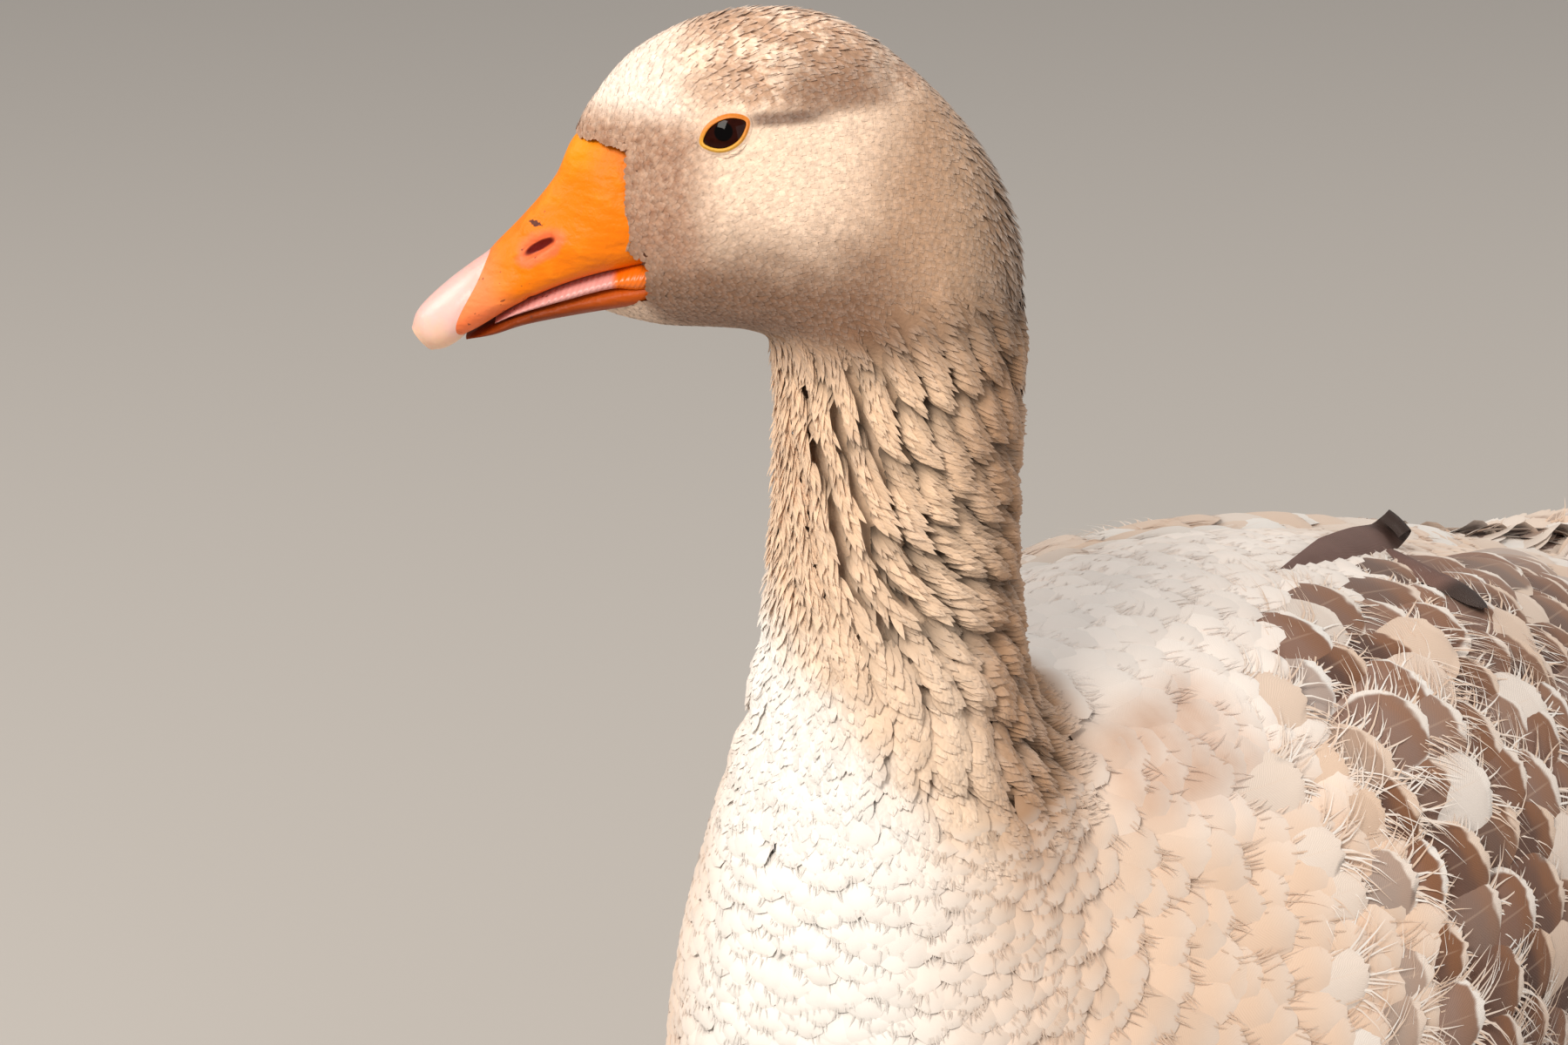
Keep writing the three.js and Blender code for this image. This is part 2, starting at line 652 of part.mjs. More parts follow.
// The web hangs in a shallow curve from toe tip to toe tip.
function web() {
  const tips = [TOES.inner, TOES.middle, TOES.outer].map((toe) => toeEnd(toe, -WEB.short));
  const outline = new THREE.Shape();
  outline.moveTo(FOOT.side, FOOT.back + WEB.heel);
  outline.lineTo(tips[0].x, tips[0].y);
  for (const [from, to] of [[tips[0], tips[1]], [tips[1], tips[2]]]) {
    const pull = from.clone().add(to).multiplyScalar(0.5).lerp(footCentre, WEB.sag);
    outline.quadraticCurveTo(pull.x, pull.y, to.x, to.y);
  }
  outline.lineTo(FOOT.side, FOOT.back + WEB.heel);
  const plate = new THREE.ExtrudeGeometry(outline, {
    depth: WEB.thickness,
    bevelEnabled: false,
    curveSegments: WEB.curveSteps,
  });
  return solid(plate.translate(0, 0, WEB.low));
}

const hindHeight = (along) => mix(HIND_TOE.height, HIND_TOE.tipHeight, along);
function hindToe() {
  return toeTube({
    start: footCentre,
    heading: HIND_TOE.heading,
    length: HIND_TOE.length,
    radiusAt: (along) => HIND_TOE.radius * (1 - HIND_TOE.taper * along),
    heightAt: hindHeight,
    rings: 3,
    sides: 7,
  });
}

// A claw leaves the toe's blunt end and bends down until its point is near the floor.
function claw(toe, size, startHeight) {
  return toeTube({
    start: toeEnd(toe, GAP),
    heading: toe.heading,
    length: CLAW.length * size,
    radiusAt: (along) => CLAW.root * size * (1 - along) ** CLAW.taper + CLAW.tip,
    heightAt: (along) => mix(startHeight, CLAW.tipHeight, along ** CLAW.drop),
    rings: 3,
    sides: 6,
  });
}

const footLevel = halfSpace([0, 0, 0], [0, 0, -1]);
const SHANK_MESH = { rings: 11, sides: 10 };
const THIGH_MESH = { rings: 8, sides: 12 };
const above = (height) => halfSpace([0, 0, height], [0, 0, 1]);
const below = (height) => halfSpace([0, 0, height], [0, 0, -1]);
const legWhole = [frontToe(TOES.inner), frontToe(TOES.middle), frontToe(TOES.outer), web(), hindToe()]
  .reduce((shape, piece) => shape.add(piece), limb(shankRows, SHANK_MESH))
  .subtract(footLevel)
  .subtract(above(THIGH_END));
const footPiece = legWhole.subtract(above(FOOT.jointHeight));
const shankPiece = legWhole.subtract(below(FOOT.jointHeight + GAP));
const thighForm = limb(thighRows, THIGH_MESH).subtract(below(THIGH_END + GAP));
const thigh = (side) => sided(thighForm, side).subtract(bodyGrown);

// ---------------------------------------------------------------- turning the neck and head
// Every height above TURN_START turns about the upright neck line, up to HEAD_TURN at TURN_END.
function turnToRight(point) {
  const share = smoothStep(point.z, TURN_START, TURN_END);
  const angle = THREE.MathUtils.degToRad(-HEAD_TURN * share);
  const [x, y] = [point.x, point.y - NECK_LINE];
  point.x = x * Math.cos(angle) - y * Math.sin(angle);
  point.y = NECK_LINE + x * Math.sin(angle) + y * Math.cos(angle);
}
const turned = (shape) => moved(geometryOf(shape), turnToRight);

// ---------------------------------------------------------------- the goose
const goose = new THREE.Group();

function add(name, geometry, colour, roughness = 0.85) {
  const material = new THREE.MeshStandardMaterial({ color: colour, roughness, metalness: 0 });
  const mesh = new THREE.Mesh(geometry, material);
  mesh.name = name;
  goose.add(mesh);
}

add('head', turned(headPiece), COLOURS.cream);
add('neck_upper', turned(neckUpper), COLOURS.buff);
add('neck_middle', turned(neckMiddle), COLOURS.buff);
add('neck_lower', turned(neckLower), COLOURS.cream);
add('trunk', geometryOf(trunkWhole), COLOURS.white);
add('tail', geometryOf(tailPiece), COLOURS.white);

add('bill_upper', turned(upperWhole.subtract(aheadOfNail)), COLOURS.bill, 0.4);
add('bill_nail', turned(nailForm), COLOURS.nail, 0.35);
add('bill_lower', turned(lowerForm.subtract(behindEdge).subtract(upperGrown)), COLOURS.bill, 0.4);
const tonguePiece = tongueForm.subtract(behindEdge).subtract(upperGrown).subtract(lowerGrown);
add('tongue', turned(tonguePiece), COLOURS.tongue, 0.4);

const sides = { left: 1, right: -1 };
for (const [sideName, side] of Object.entries(sides)) {
  const handed = (geometry) => (side > 0 ? geometry : mirrored(geometry));
  add(`eye_${sideName}`, turned(eyeBall(side, 0)), COLOURS.eye, 0.08);
  add(`wing_${sideName}`, geometryOf(wing(side)), COLOURS.brown);
  add(`thigh_${sideName}`, geometryOf(thigh(side)), COLOURS.white);
  add(`shank_${sideName}`, handed(geometryOf(shankPiece)), COLOURS.foot, 0.55);
  add(`foot_${sideName}`, handed(geometryOf(footPiece)), COLOURS.foot, 0.55);
  for (const [toeName, toe] of Object.entries(TOES)) {
    const height = toeRadius(toe)(1) - FOOT.soleTrim + CLAW_LIFT;
    const clawPiece = claw(toe, 1, height).subtract(footLevel);
    add(`claw_${toeName}_${sideName}`, handed(geometryOf(clawPiece)), COLOURS.claw, 0.45);
  }
  const hindClaw = claw(HIND_TOE, CLAW.hindSize, hindHeight(1));
  add(`claw_hind_${sideName}`, handed(geometryOf(hindClaw)), COLOURS.claw, 0.45);
}

// The origin is on the floor, under the middle of the whole bird.
const box = new THREE.Box3().setFromObject(goose);
const centre = box.getCenter(new THREE.Vector3());
goose.position.set(-centre.x, -centre.y, -box.min.z);

export default goose;
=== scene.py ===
from math import cos, pi, radians, sin, tau

import bpy
import numpy as np
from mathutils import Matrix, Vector
from mathutils.kdtree import KDTree


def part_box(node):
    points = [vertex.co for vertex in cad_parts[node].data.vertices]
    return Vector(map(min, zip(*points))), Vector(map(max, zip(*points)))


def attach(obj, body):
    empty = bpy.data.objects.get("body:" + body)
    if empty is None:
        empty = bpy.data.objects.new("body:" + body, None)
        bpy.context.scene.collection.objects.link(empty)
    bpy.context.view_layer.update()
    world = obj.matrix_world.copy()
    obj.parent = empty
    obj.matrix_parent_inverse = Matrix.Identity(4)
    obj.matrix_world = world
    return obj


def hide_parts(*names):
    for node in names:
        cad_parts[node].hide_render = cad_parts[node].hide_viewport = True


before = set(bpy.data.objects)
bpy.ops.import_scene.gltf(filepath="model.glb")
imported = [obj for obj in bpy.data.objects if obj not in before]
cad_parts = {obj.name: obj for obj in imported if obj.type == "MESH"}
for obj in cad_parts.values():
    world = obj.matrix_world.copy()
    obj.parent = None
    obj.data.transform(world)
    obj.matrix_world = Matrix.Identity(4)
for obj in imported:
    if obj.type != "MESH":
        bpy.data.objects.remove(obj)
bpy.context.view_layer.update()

# ---------------------------------------------------------------- sizes
# The goose's own sizes are in millimetres, as in the solids; MM turns them into scene metres.
MM = 0.001
NECK_LINE = -150.0  # Y of the upright line that the neck and head turn about
HEAD_LEVEL = 550.5  # height that places on the head are counted from
HEAD_TURN = 55.0  # degrees, to the bird's right
TURN_START, TURN_END = 396.0, 488.0  # heights between which the neck turns
RUMP_CUT = 200.0  # Y of the trunk's rear end, before the solids were centred
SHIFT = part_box("trunk")[1][1] / MM - RUMP_CUT  # how far they were moved along Y for that
EYE = {"forward": 44.7, "above": 5.5}  # of the neck line and the head's level

# Each row is a slice of the body from rump to forehead: the back line's Y and Z, the belly line's Y and Z,
# the half width, the lean of the widest place to the back line, and a power under 1 for a fuller slice.
RUMP_TO_BREAST = [
    (290, 297, 286, 289, 22, 0, 1),
    (246, 307, 238, 268, 40, 0.1, 0.95),
    (203, 322, 192, 238, 56, 0.1, 0.92),
    (158, 339, 146, 202, 74, 0.06, 0.9),
    (104, 358, 90, 166, 90, 0.04, 0.87),
    (40, 376, 24, 146, 101, 0.02, 0.85),
    (-25, 386, -46, 140, 105, -0.02, 0.85),
    (-76, 388, -110, 151, 98, -0.06, 0.87),
    (-100, 391, -158, 181, 84, -0.12, 0.9),
    (-109, 396, -189, 229, 67, -0.16, 0.94),
    (-113, 403, -202, 286, 54, -0.14, 0.97),
    (-115, 414, -200, 340, 43.5, -0.1, 1),
    (-116.5, 432, -193, 384, 36.5, -0.04, 1),
    (-117, 457, -186, 425, 32, 0, 1),
    (-117, 482, -182.5, 460, 30, 0, 1),
]
# The head's rows give places forward of the neck line and above the head's level instead, and no power.
HEAD_ROWS = [
    (-33, -52, 32, -63, 29, 0),
    (-28.5, -24, 34.5, -54, 28, -0.04),
    (-19, -3, 40, -51.5, 27, -0.14),
    (-2, 16.5, 46, -51, 26.5, -0.2),
    (20, 30, 53, -51, 25.5, -0.2),
    (45, 31, 60, -51, 22.5, -0.2),
    (66, 22.5, 67, -50, 17, -0.22),
    (79, 8, 73, -48.5, 13, -0.22),
    (84.5, -4, 79.5, -46, 10.5, -0.25),
]
UPPER_BILL = [
    (66, 4, 56, -32.6, 15.5, -0.3, 0.8),
    (81.6, 0, 63, -33.6, 15.3, -0.34, 0.8),
    (88.5, -12.5, 76, -35.8, 14.4, -0.36, 0.8),
    (97, -23, 87.5, -39.6, 13, -0.32, 0.8),
    (107, -33, 98, -44.6, 11.8, -0.26, 0.8),
    (116.5, -41, 107.5, -50.8, 10.4, -0.2, 0.85),
    (123.8, -48, 115.5, -56, 7.8, -0.1, 0.9),
    (126, -52.5, 120.5, -58.6, 3.8, 0, 1),
]
LOWER_BILL = [
    (56, -33.2, 56, -43.0, 14.2, 0.1, 0.75),
    (69, -36.4, 70, -45.2, 13.4, 0.1, 0.8),
    (82, -40.2, 83, -47.6, 11.4, 0.1, 0.8),
    (96, -45.4, 96, -50.4, 9.6, 0.1, 0.85),
    (105, -50.2, 104.5, -53.4, 7.4, 0.1, 0.9),
    (112, -54.6, 111.5, -55.2, 3, 0, 1),
]
TONGUE = [
    (58, -30.0, 58, -39.5, 14.6, 0, 0.65),
    (67, -31.6, 67, -40.0, 14.8, 0, 0.65),
    (74, -34.2, 74, -39.6, 13.4, 0, 0.7),
    (86, -38.4, 86, -43.0, 12.2, 0, 0.75),
    (98, -44.4, 98, -47.0, 9.4, 0, 0.8),
    (104, -48.6, 104, -49.8, 7.0, 0, 1),
]
# A feathered thigh, from its end at the hock up into the body: X, Y, Z, radius across and fore and aft.
THIGH = [
    (51, 24, 104, 10, 11),
    (53, 16, 127, 15, 19),
    (57, 3, 148, 24, 33),
    (60, -9, 172, 30, 44),
    (60, -14, 192, 33, 50),
]
# A folded wing is two pads on the body. Each row, from the wing's tip to its shoulder, gives the pad's upper
# and lower edge in degrees down from the back line, and its thickness. Its tip and shoulder are body rows.
COVERT_PAD = {
    "rows": [(6, 30, 4), (9, 54, 8), (14, 78, 12), (20, 96, 17), (27, 108, 21),
             (34, 114, 22), (42, 114, 21), (52, 106, 16), (64, 90, 8)],
    "tip": 1.3,
    "shoulder": 7.5,
}
FLIGHT_PAD = {
    "rows": [(10, 26, 2), (14, 52, 3), (22, 84, 5), (40, 108, 6), (66, 121, 6), (90, 122, 5)],
    "tip": 0.3,
    "shoulder": 5.2,
}


# ---------------------------------------------------------------- shape tools
def mix(a, b, t):
    return a + (b - a) * t


def smooth(value, low, high):
    t = np.clip((value - low) / (high - low), 0, 1)
    return t * t * (3 - 2 * t)


def bump(value):
    """A bump of height 1 at 0 that fades to 0 at -1 and 1."""
    return 1 - smooth(np.abs(value), 0, 1)


def unit(vectors):
    return vectors / np.maximum(np.linalg.norm(vectors, axis=-1, keepdims=True), 1e-12)


def dot(a, b):
    return (a * b).sum(-1)


def tilted(ahead, up, angle):
    """Places along and across a line that slopes down to the front by an angle."""
    return ahead * cos(angle) - up * sin(angle), ahead * sin(angle) + up * cos(angle)


def tree_of(points):
    """A search tree of points, each numbered by its place in the list."""
    tree = KDTree(len(points))
    for i, point in enumerate(points):
        tree.insert(point, i)
    tree.balance()
    return tree


def row_at(rows, place):
    """A smooth curve through rows of numbers, at places from 0 to 1."""
    rows = np.asarray(rows, float)
    last = len(rows) - 1
    spot = np.clip(place, 0, 1) * last
    index = np.minimum(spot.astype(int), last - 1)
    t = (spot - index)[..., None]
    before, here, after, beyond = (rows[np.clip(index + k, 0, last)] for k in (-1, 0, 1, 2))
    slope_in = (after - before) / 2
    slope_out = (beyond - here) / 2
    cube = 2 * here - 2 * after + slope_in + slope_out
    square = 3 * after - 3 * here - 2 * slope_in - slope_out
    return ((cube * t + square) * t + slope_in) * t + here


def slice_points(rows, angle):
    """Points of body slices, at an angle from the back line round the left side."""
    top_y, top_z, low_y, low_z, half, skew, full = np.moveaxis(rows, -1, 0)
    across = np.sign(np.sin(angle)) * np.abs(np.sin(angle)) ** full
    down = 0.5 - 0.5 * np.cos(angle)
    x = half * across * (1 + skew * np.cos(angle))
    return np.stack([x, mix(top_y, low_y, down), mix(top_z, low_z, down)], -1)


def head_rows(rows):
    """Rows given forward of the neck line and above the head's level, as the body's own rows."""
    return [
        (NECK_LINE - row[0], HEAD_LEVEL + row[1], NECK_LINE - row[2], HEAD_LEVEL + row[3], *row[4:])
        for row in rows
    ]


HEAD_FULLNESS = 0.95  # the power for all of the head's slices
BODY_ROWS = RUMP_TO_BREAST + head_rows([(*row, HEAD_FULLNESS) for row in HEAD_ROWS])
LAST_ROW = len(BODY_ROWS) - 1


def to_scene(points):
    """Turns the neck and head to the bird's right and gives scene metres."""
    points = np.asarray(points, float)
    angle = -np.radians(HEAD_TURN) * smooth(points[..., 2], TURN_START, TURN_END)
    x, y = points[..., 0], points[..., 1] - NECK_LINE
    turned_x = x * np.cos(angle) - y * np.sin(angle)
    turned_y = x * np.sin(angle) + y * np.cos(angle)
    return np.stack([turned_x, NECK_LINE + turned_y + SHIFT, points[..., 2]], -1) * MM


# The head's own axes in the scene: forward to the bill's tip, out to the bird's left, and the neck line.
FORWARD = np.array([-sin(radians(HEAD_TURN)), -cos(radians(HEAD_TURN)), 0])
LEFTWARD = np.array([cos(radians(HEAD_TURN)), -sin(radians(HEAD_TURN)), 0])
HEAD_ORIGIN = np.array([0, (NECK_LINE + SHIFT) * MM, HEAD_LEVEL * MM])


def head_places(points):
    """How far scene points are forward of the neck line, above the head's level and to the left, in mm."""
    away = (points - HEAD_ORIGIN) / MM
    return dot(away, FORWARD), away[..., 2], dot(away, LEFTWARD)


def from_head(forward, above, left):
    """The scene point at a place given in the head's own axes, in mm."""
    forward, above, left = np.broadcast_arrays(forward, above, left)
    flat = forward[..., None] * FORWARD + left[..., None] * LEFTWARD
    return HEAD_ORIGIN + MM * (flat + above[..., None] * np.array([0, 0, 1.0]))


def feather_edge(left, above):
    """How far forward the feathers reach at the bill, with a wedge under the chin and a notch at the gape."""
    brow = 30 * smooth(above - 0.2, -0.9, 0.9)
    chin = 19 * bump(left / 17) * smooth(-above, 41.5, 45)
    gape = 8.0 * smooth(above, -43, -40.5) * smooth(-above, 25, 30)
    corner = 3.0 * smooth(above, -22, -13)
    return 73 + brow + chin - gape - corner


# ---------------------------------------------------------------- surfaces that feathers are rooted on
class Surface:
    """A tube of points, rings from the tail end forward. Places on it are along and side, each 0 to 1."""

    def __init__(self, points, patch, relief=None):
        self.points = points
        self.patch = patch
        rings, sides = points.shape[:2]
        self.shape = rings, sides
        self.along = np.gradient(points, axis=0) * (rings - 1)
        self.side = (np.roll(points, -1, 1) - np.roll(points, 1, 1)) * sides / 2
        normal = unit(np.cross(self.along, self.side))
        outward = dot(normal, points - points.mean(1, keepdims=True)).mean() > 0
        self.normal = normal if outward else -normal
        self.relief = np.zeros((rings, sides)) if relief is None else relief

    def sample(self, field, along, side):
        rings, sides = self.shape
        ring = np.clip(along, 0, 1) * (rings - 1)
        i = np.minimum(ring.astype(int), rings - 2)
        turn = (side % 1) * sides
        j = turn.astype(int) % sides
        k = (j + 1) % sides
        s, t = ring - i, turn - np.floor(turn)
        if field.ndim == 3:
            s, t = s[..., None], t[..., None]
        near = (1 - t) * field[i, j] + t * field[i, k]
        return (1 - s) * near + s * ((1 - t) * field[i + 1, j] + t * field[i + 1, k])

    def at(self, along, side):
        return self.sample(self.points, along, side)

    def areas(self):
        rings, sides = self.shape
        return np.linalg.norm(np.cross(self.along, self.side), axis=-1) / ((rings - 1) * sides)

    def map_place(self, along, side):
        left, bottom, width, height = self.patch
        return np.stack([left + width * (side % 1), bottom + height * along], -1)

    def walk(self, along, side, lie, length, count):
        """Centre lines that start at a place and run with the lie of the coat, length mm in count steps.

        lie is the angle from straight back towards the back line. Past the tail end they run on straight."""
        step = length / count * MM
        path = {"point": [], "normal": [], "heading": [], "relief": []}
        drift = np.zeros((len(along), 3))
        for _ in range(count + 1):
            by_along = self.sample(self.along, along, side)
            by_side = self.sample(self.side, along, side)
            normal = unit(self.sample(self.normal, along, side))
            back = -unit(by_along - dot(by_along, normal)[:, None] * normal)
            half = np.where(side % 1 < 0.5, -1.0, 1.0)[:, None]
            over = unit(np.cross(normal, back))
            over = over * np.sign(dot(over, half * by_side))[:, None]
            heading = unit(np.cos(lie)[:, None] * back + np.sin(lie)[:, None] * over)
            path["point"].append(self.at(along, side) + drift)
            path["normal"].append(normal)
            path["heading"].append(heading)
            path["relief"].append(self.sample(self.relief, along, side))
            aa, ab, bb = dot(by_along, by_along), dot(by_along, by_side), dot(by_side, by_side)
            ha, hb = dot(by_along, heading), dot(by_side, heading)
            scale = step / np.maximum(aa * bb - ab * ab, 1e-12)
            new_along = along + (bb * ha - ab * hb) * scale
            past = new_along < 0
            drift = drift + heading * (step * past)[:, None]
            side = np.where(past, side, side + (aa * hb - ab * ha) * scale)
            along = np.clip(new_along, 0, 1)
        return {"step": step, **{name: np.stack(values, 1) for name, values in path.items()}}


def pad_height(pad, place, degrees):
    """Height of a wing pad over the body, in mm, with soft edges."""
    along = (place * LAST_ROW - pad["tip"]) / (pad["shoulder"] - pad["tip"])
    upper, lower, thickness = np.moveaxis(row_at(pad["rows"], along), -1, 0)
    across = (degrees - upper) / (lower - upper)
    inside = np.clip(across, 0, 1)
    crown = mix(0.28, 1, np.sin(pi * inside**1.4))
    ends = np.minimum(1, np.minimum(4 * along + 0.3, 3 * (1 - along) + 0.3))
    edge = smooth(across, -0.12, 0.04) * smooth(-across, -1.1, -0.96)
    reach = smooth(along, -0.06, 0.05) * smooth(-along, -1.1, -0.95)
    return (1.5 + thickness * crown * np.clip(ends, 0, 1)) * edge * reach


RIDGES = 25  # ropes of feathers round the neck
ROPE_DEPTH = 6.0
ROPE_CREST = 0.58  # where a rope is highest, from its front edge to its rear edge
FURROW_TOP, FURROW_FOOT = 500.0, 362.0  # heights between which the ropes run
NECK_START, FACE_START = 9.2, 12.5  # the body rows where the ropes and the face's feathers begin


def furrow_down(height):
    """How far down the ropes a height is, 0 at their top and 1 at their foot."""
    return (FURROW_TOP - height) / (FURROW_TOP - FURROW_FOOT)


def rope_phase(height, side):
    """Which rope a place on the neck is on, as a number and a share, counted round from the back line."""
    angle = tau * side
    slanted = angle + 0.5 * np.clip(furrow_down(height), 0, 1) * np.sin(angle)
    wobble = 0.2 * np.sin(height * 0.105 + angle) + 0.1 * np.sin(height * 0.21 + 2 * angle + 1)
    return slanted / tau * RIDGES + wobble


def lock_shape(height, number, locks):
    """How far down its lock a place on a rope is, 0 to 1, and the lock's width there."""
    number = number % RIDGES
    lock = (FURROW_TOP - height) / locks[0][number] + locks[1][number]
    run = lock - np.floor(lock)
    width = 1 - 0.5 * smooth(run, 0.55, 1) - 0.2 * (1 - smooth(run, 0, 0.25))
    return run, width


def furrow_relief(height, side, locks):
    """Height of the neck's ropes of feathers over the gaps between them, 0 to 1, and how strong they are."""
    angle = tau * side
    down = furrow_down(height)
    rope = rope_phase(height, side)
    number = np.floor(rope).astype(int)
    share = rope - number
    share = np.where(angle < pi, 1 - share, share)
    past = share - ROPE_CREST
    away = np.where(past < 0, -past / ROPE_CREST, past / (1 - ROPE_CREST))
    run, width = lock_shape(height, number, locks)
    ridge = np.clip(1 - (away / width) ** 2.4, 0, 1) ** 0.7
    rise = 0.4 + 0.6 * smooth(run, 0.0, 0.65)
    front = smooth(np.cos(angle), -1.0, -0.5)
    start = down + 0.1 * smooth(np.cos(angle), -0.7, 0.3)
    strength = smooth(start, -0.04, 0.12) * smooth(-down, -1.03, -0.8) * mix(0.3, 1, front)
    return ridge * rise, strength


BODY_GRID = 561, 288  # rings, points round each
THIGH_GRID = 61, 64
# Each surface's part of the coat's map: left, bottom, width, height. Large feathers use the part beside them.
BODY_PATCH = (0.02, 0.02, 0.7, 0.96)
LEFT_THIGH_PATCH, RIGHT_THIGH_PATCH = (0.75, 0.40, 0.1, 0.25), (0.87, 0.40, 0.1, 0.25)


def body_surface(rng):
    """The whole feathered body but for the thighs, with what the coats need to know at each of its points."""
    rings, sides = BODY_GRID
    place = np.linspace(0, 1, rings)[:, None] * np.ones(sides)
    angle = np.ones((rings, 1)) * np.arange(sides) / sides * tau
    points = slice_points(row_at(BODY_ROWS, place), angle)
    plain = Surface(points, None)
    degrees = np.degrees(np.minimum(angle, tau - angle))
    pads = np.maximum(pad_height(COVERT_PAD, place, degrees), pad_height(FLIGHT_PAD, place, degrees))
    for _ in range(6):
        pads = (np.roll(pads, 1, 1) + 2 * pads + np.roll(pads, -1, 1)) / 4
        pads[1:-1] = (pads[:-2] + 2 * pads[1:-1] + pads[2:]) / 4
    locks = rng.uniform(16, 27, RIDGES), rng.uniform(0, 1, RIDGES)
    height = points[..., 2]
    ropes, strength = furrow_relief(height, angle / tau, locks)
    furrows = strength * (place * LAST_ROW > NECK_START)
    points = points + plain.normal * (pads * 0.97 - 0.3 * furrows)[..., None]
    body = Surface(to_scene(points), BODY_PATCH, (ropes - 1) * ROPE_DEPTH * furrows * MM)
    body.furrows = furrows
    body.degrees = degrees
    body.pads = pads
    body.place = place * LAST_ROW
    body.height = height
    body.locks = locks
    return body


def thigh_surface(side, patch):
    """A feathered thigh, on the left for side 1 and on the right for side -1."""
    rings, sides = THIGH_GRID
    x, y, z, across, deep = np.moveaxis(row_at(THIGH, np.linspace(0, 1, rings)), -1, 0)
    angle = np.arange(sides) / sides * tau
    points = np.stack(
        [
            side * (x[:, None] + across[:, None] * np.cos(angle)),
            y[:, None] + deep[:, None] * np.sin(angle),
            z[:, None] + 0 * angle,
        ],
        -1,
    )
    return Surface(to_scene(points), patch)


# ---------------------------------------------------------------- shader maths
class Number:
    """A number that varies over a surface. Arithmetic on it adds Math nodes."""

    def __init__(self, shader, socket):
        self.shader = shader
        self.socket = socket

    def __add__(self, other):
        return self.shader.math("ADD", self, other)

    def __sub__(self, other):
        return self.shader.math("SUBTRACT", self, other)

    def __neg__(self):
        return self.shader.math("MULTIPLY", self, -1.0)

    def __rsub__(self, other):
        return self.shader.math("SUBTRACT", other, self)

    def __mul__(self, other):
        return self.shader.math("MULTIPLY", self, other)

    def __truediv__(self, other):
        return self.shader.math("DIVIDE", self, other)

    def __pow__(self, other):
        return self.shader.math("POWER", self, other)

    def __abs__(self):
        return self.shader.math("ABSOLUTE", self)

    __radd__ = __add__
    __rmul__ = __mul__

    def sine(self):
        return self.shader.math("SINE", self)

    def smooth(self, low, high):
        """0 at low and under, 1 at high and over; low may be the larger."""
        settings = {"interpolation_type": "SMOOTHSTEP"}
        places = {"Value": self, "From Min": low, "From Max": high}
        return self.shader.number("ShaderNodeMapRange", "Result", settings, places)


class Shader:
    """One material and the nodes that make it."""

    def __init__(self, name):
        self.material = bpy.data.materials.new(name)
        self.material.use_nodes = True
        self.tree = self.material.node_tree
        self.surface = self.tree.nodes["Principled BSDF"]

    def node(self, kind, settings=None, places=None):
        """A node of a kind, its settings first and then its sockets' values or links."""
        made = self.tree.nodes.new(kind)
        for name, value in (settings or {}).items():
            setattr(made, name, value)
        for name, value in (places or {}).items():
            self.put(made.inputs[name], value)
        return made

    def put(self, socket, value):
        if isinstance(value, Number):
            value = value.socket
        if isinstance(value, bpy.types.NodeSocket):
            self.tree.links.new(value, socket)
        elif isinstance(value, (tuple, list, np.ndarray)) and socket.type == "RGBA":
            socket.default_value = (*value, 1)
        else:
            socket.default_value = value

    def number(self, kind, output, settings=None, places=None):
        return Number(self, self.node(kind, settings, places).outputs[output])

    def math(self, operation, *values):
        places = dict(enumerate(values))
        return self.number("ShaderNodeMath", 0, {"operation": operation}, places)

    def position(self):
        return self.node("ShaderNodeTexCoord").outputs["Object"]

    def along(self, direction, origin=(0, 0, 0)):
        """How far the surface is along a direction from an origin, in mm."""
        start = float(np.dot(origin, direction))
        return (self.product(self.position(), direction) - start) / MM

    def product(self, vector, direction):
        """The length of a vector along a direction."""
        places = {0: vector, 1: tuple(direction)}
        return self.number("ShaderNodeVectorMath", "Value", {"operation": "DOT_PRODUCT"}, places)

    def head_places(self):
        """How far forward of the neck line, above the head's level and to the left the surface is, in mm."""
        return [self.along(way, HEAD_ORIGIN) for way in (FORWARD, (0, 0, 1), LEFTWARD)]

    def noise(self, scale, detail=2.0, stretch=(1, 1, 1)):
        """Soft noise about 0.5, scale in patches to the metre."""
        places = {"Vector": self.times(self.position(), stretch), "Scale": scale, "Detail": detail}
        return self.number("ShaderNodeTexNoise", "Fac", None, places)

    def mark(self, name):
        """A number kept on the mesh's points."""
        return self.number("ShaderNodeAttribute", "Fac", {"attribute_name": name})

    def times(self, vector, factors):
        places = {0: vector, 1: factors}
        return self.node("ShaderNodeVectorMath", {"operation": "MULTIPLY"}, places).outputs[0]

    def blend(self, amount, first, second):
        places = {0: amount, 6: first, 7: second}
        return self.node("ShaderNodeMix", {"data_type": "RGBA"}, places).outputs[2]

    def layered(self, colour, *layers):
        """A colour with others laid over it in turn, each given as its cover and its colour."""
        for cover, over in layers:
            colour = self.blend(cover, colour, over)
        return colour

    def scaled(self, colour, amount):
        """A colour made lighter or darker by a number."""
        grey = self.node("ShaderNodeCombineXYZ", None, {0: amount, 1: amount, 2: amount}).outputs[0]
        return self.times(colour, grey)

    def finish(self, colour, roughness, height=None, relief=0.3, **plain):
        self.put(self.surface.inputs["Base Color"], colour)
        self.put(self.surface.inputs["Roughness"], roughness)
        if height is not None:
            places = {"Height": height, "Distance": relief * MM, "Strength": 1.0}
            self.put(self.surface.inputs["Normal"], self.node("ShaderNodeBump", None, places).outputs[0])
        for name, value in plain.items():
            self.put(self.surface.inputs[name.replace("_", " ")], value)
        return self.material


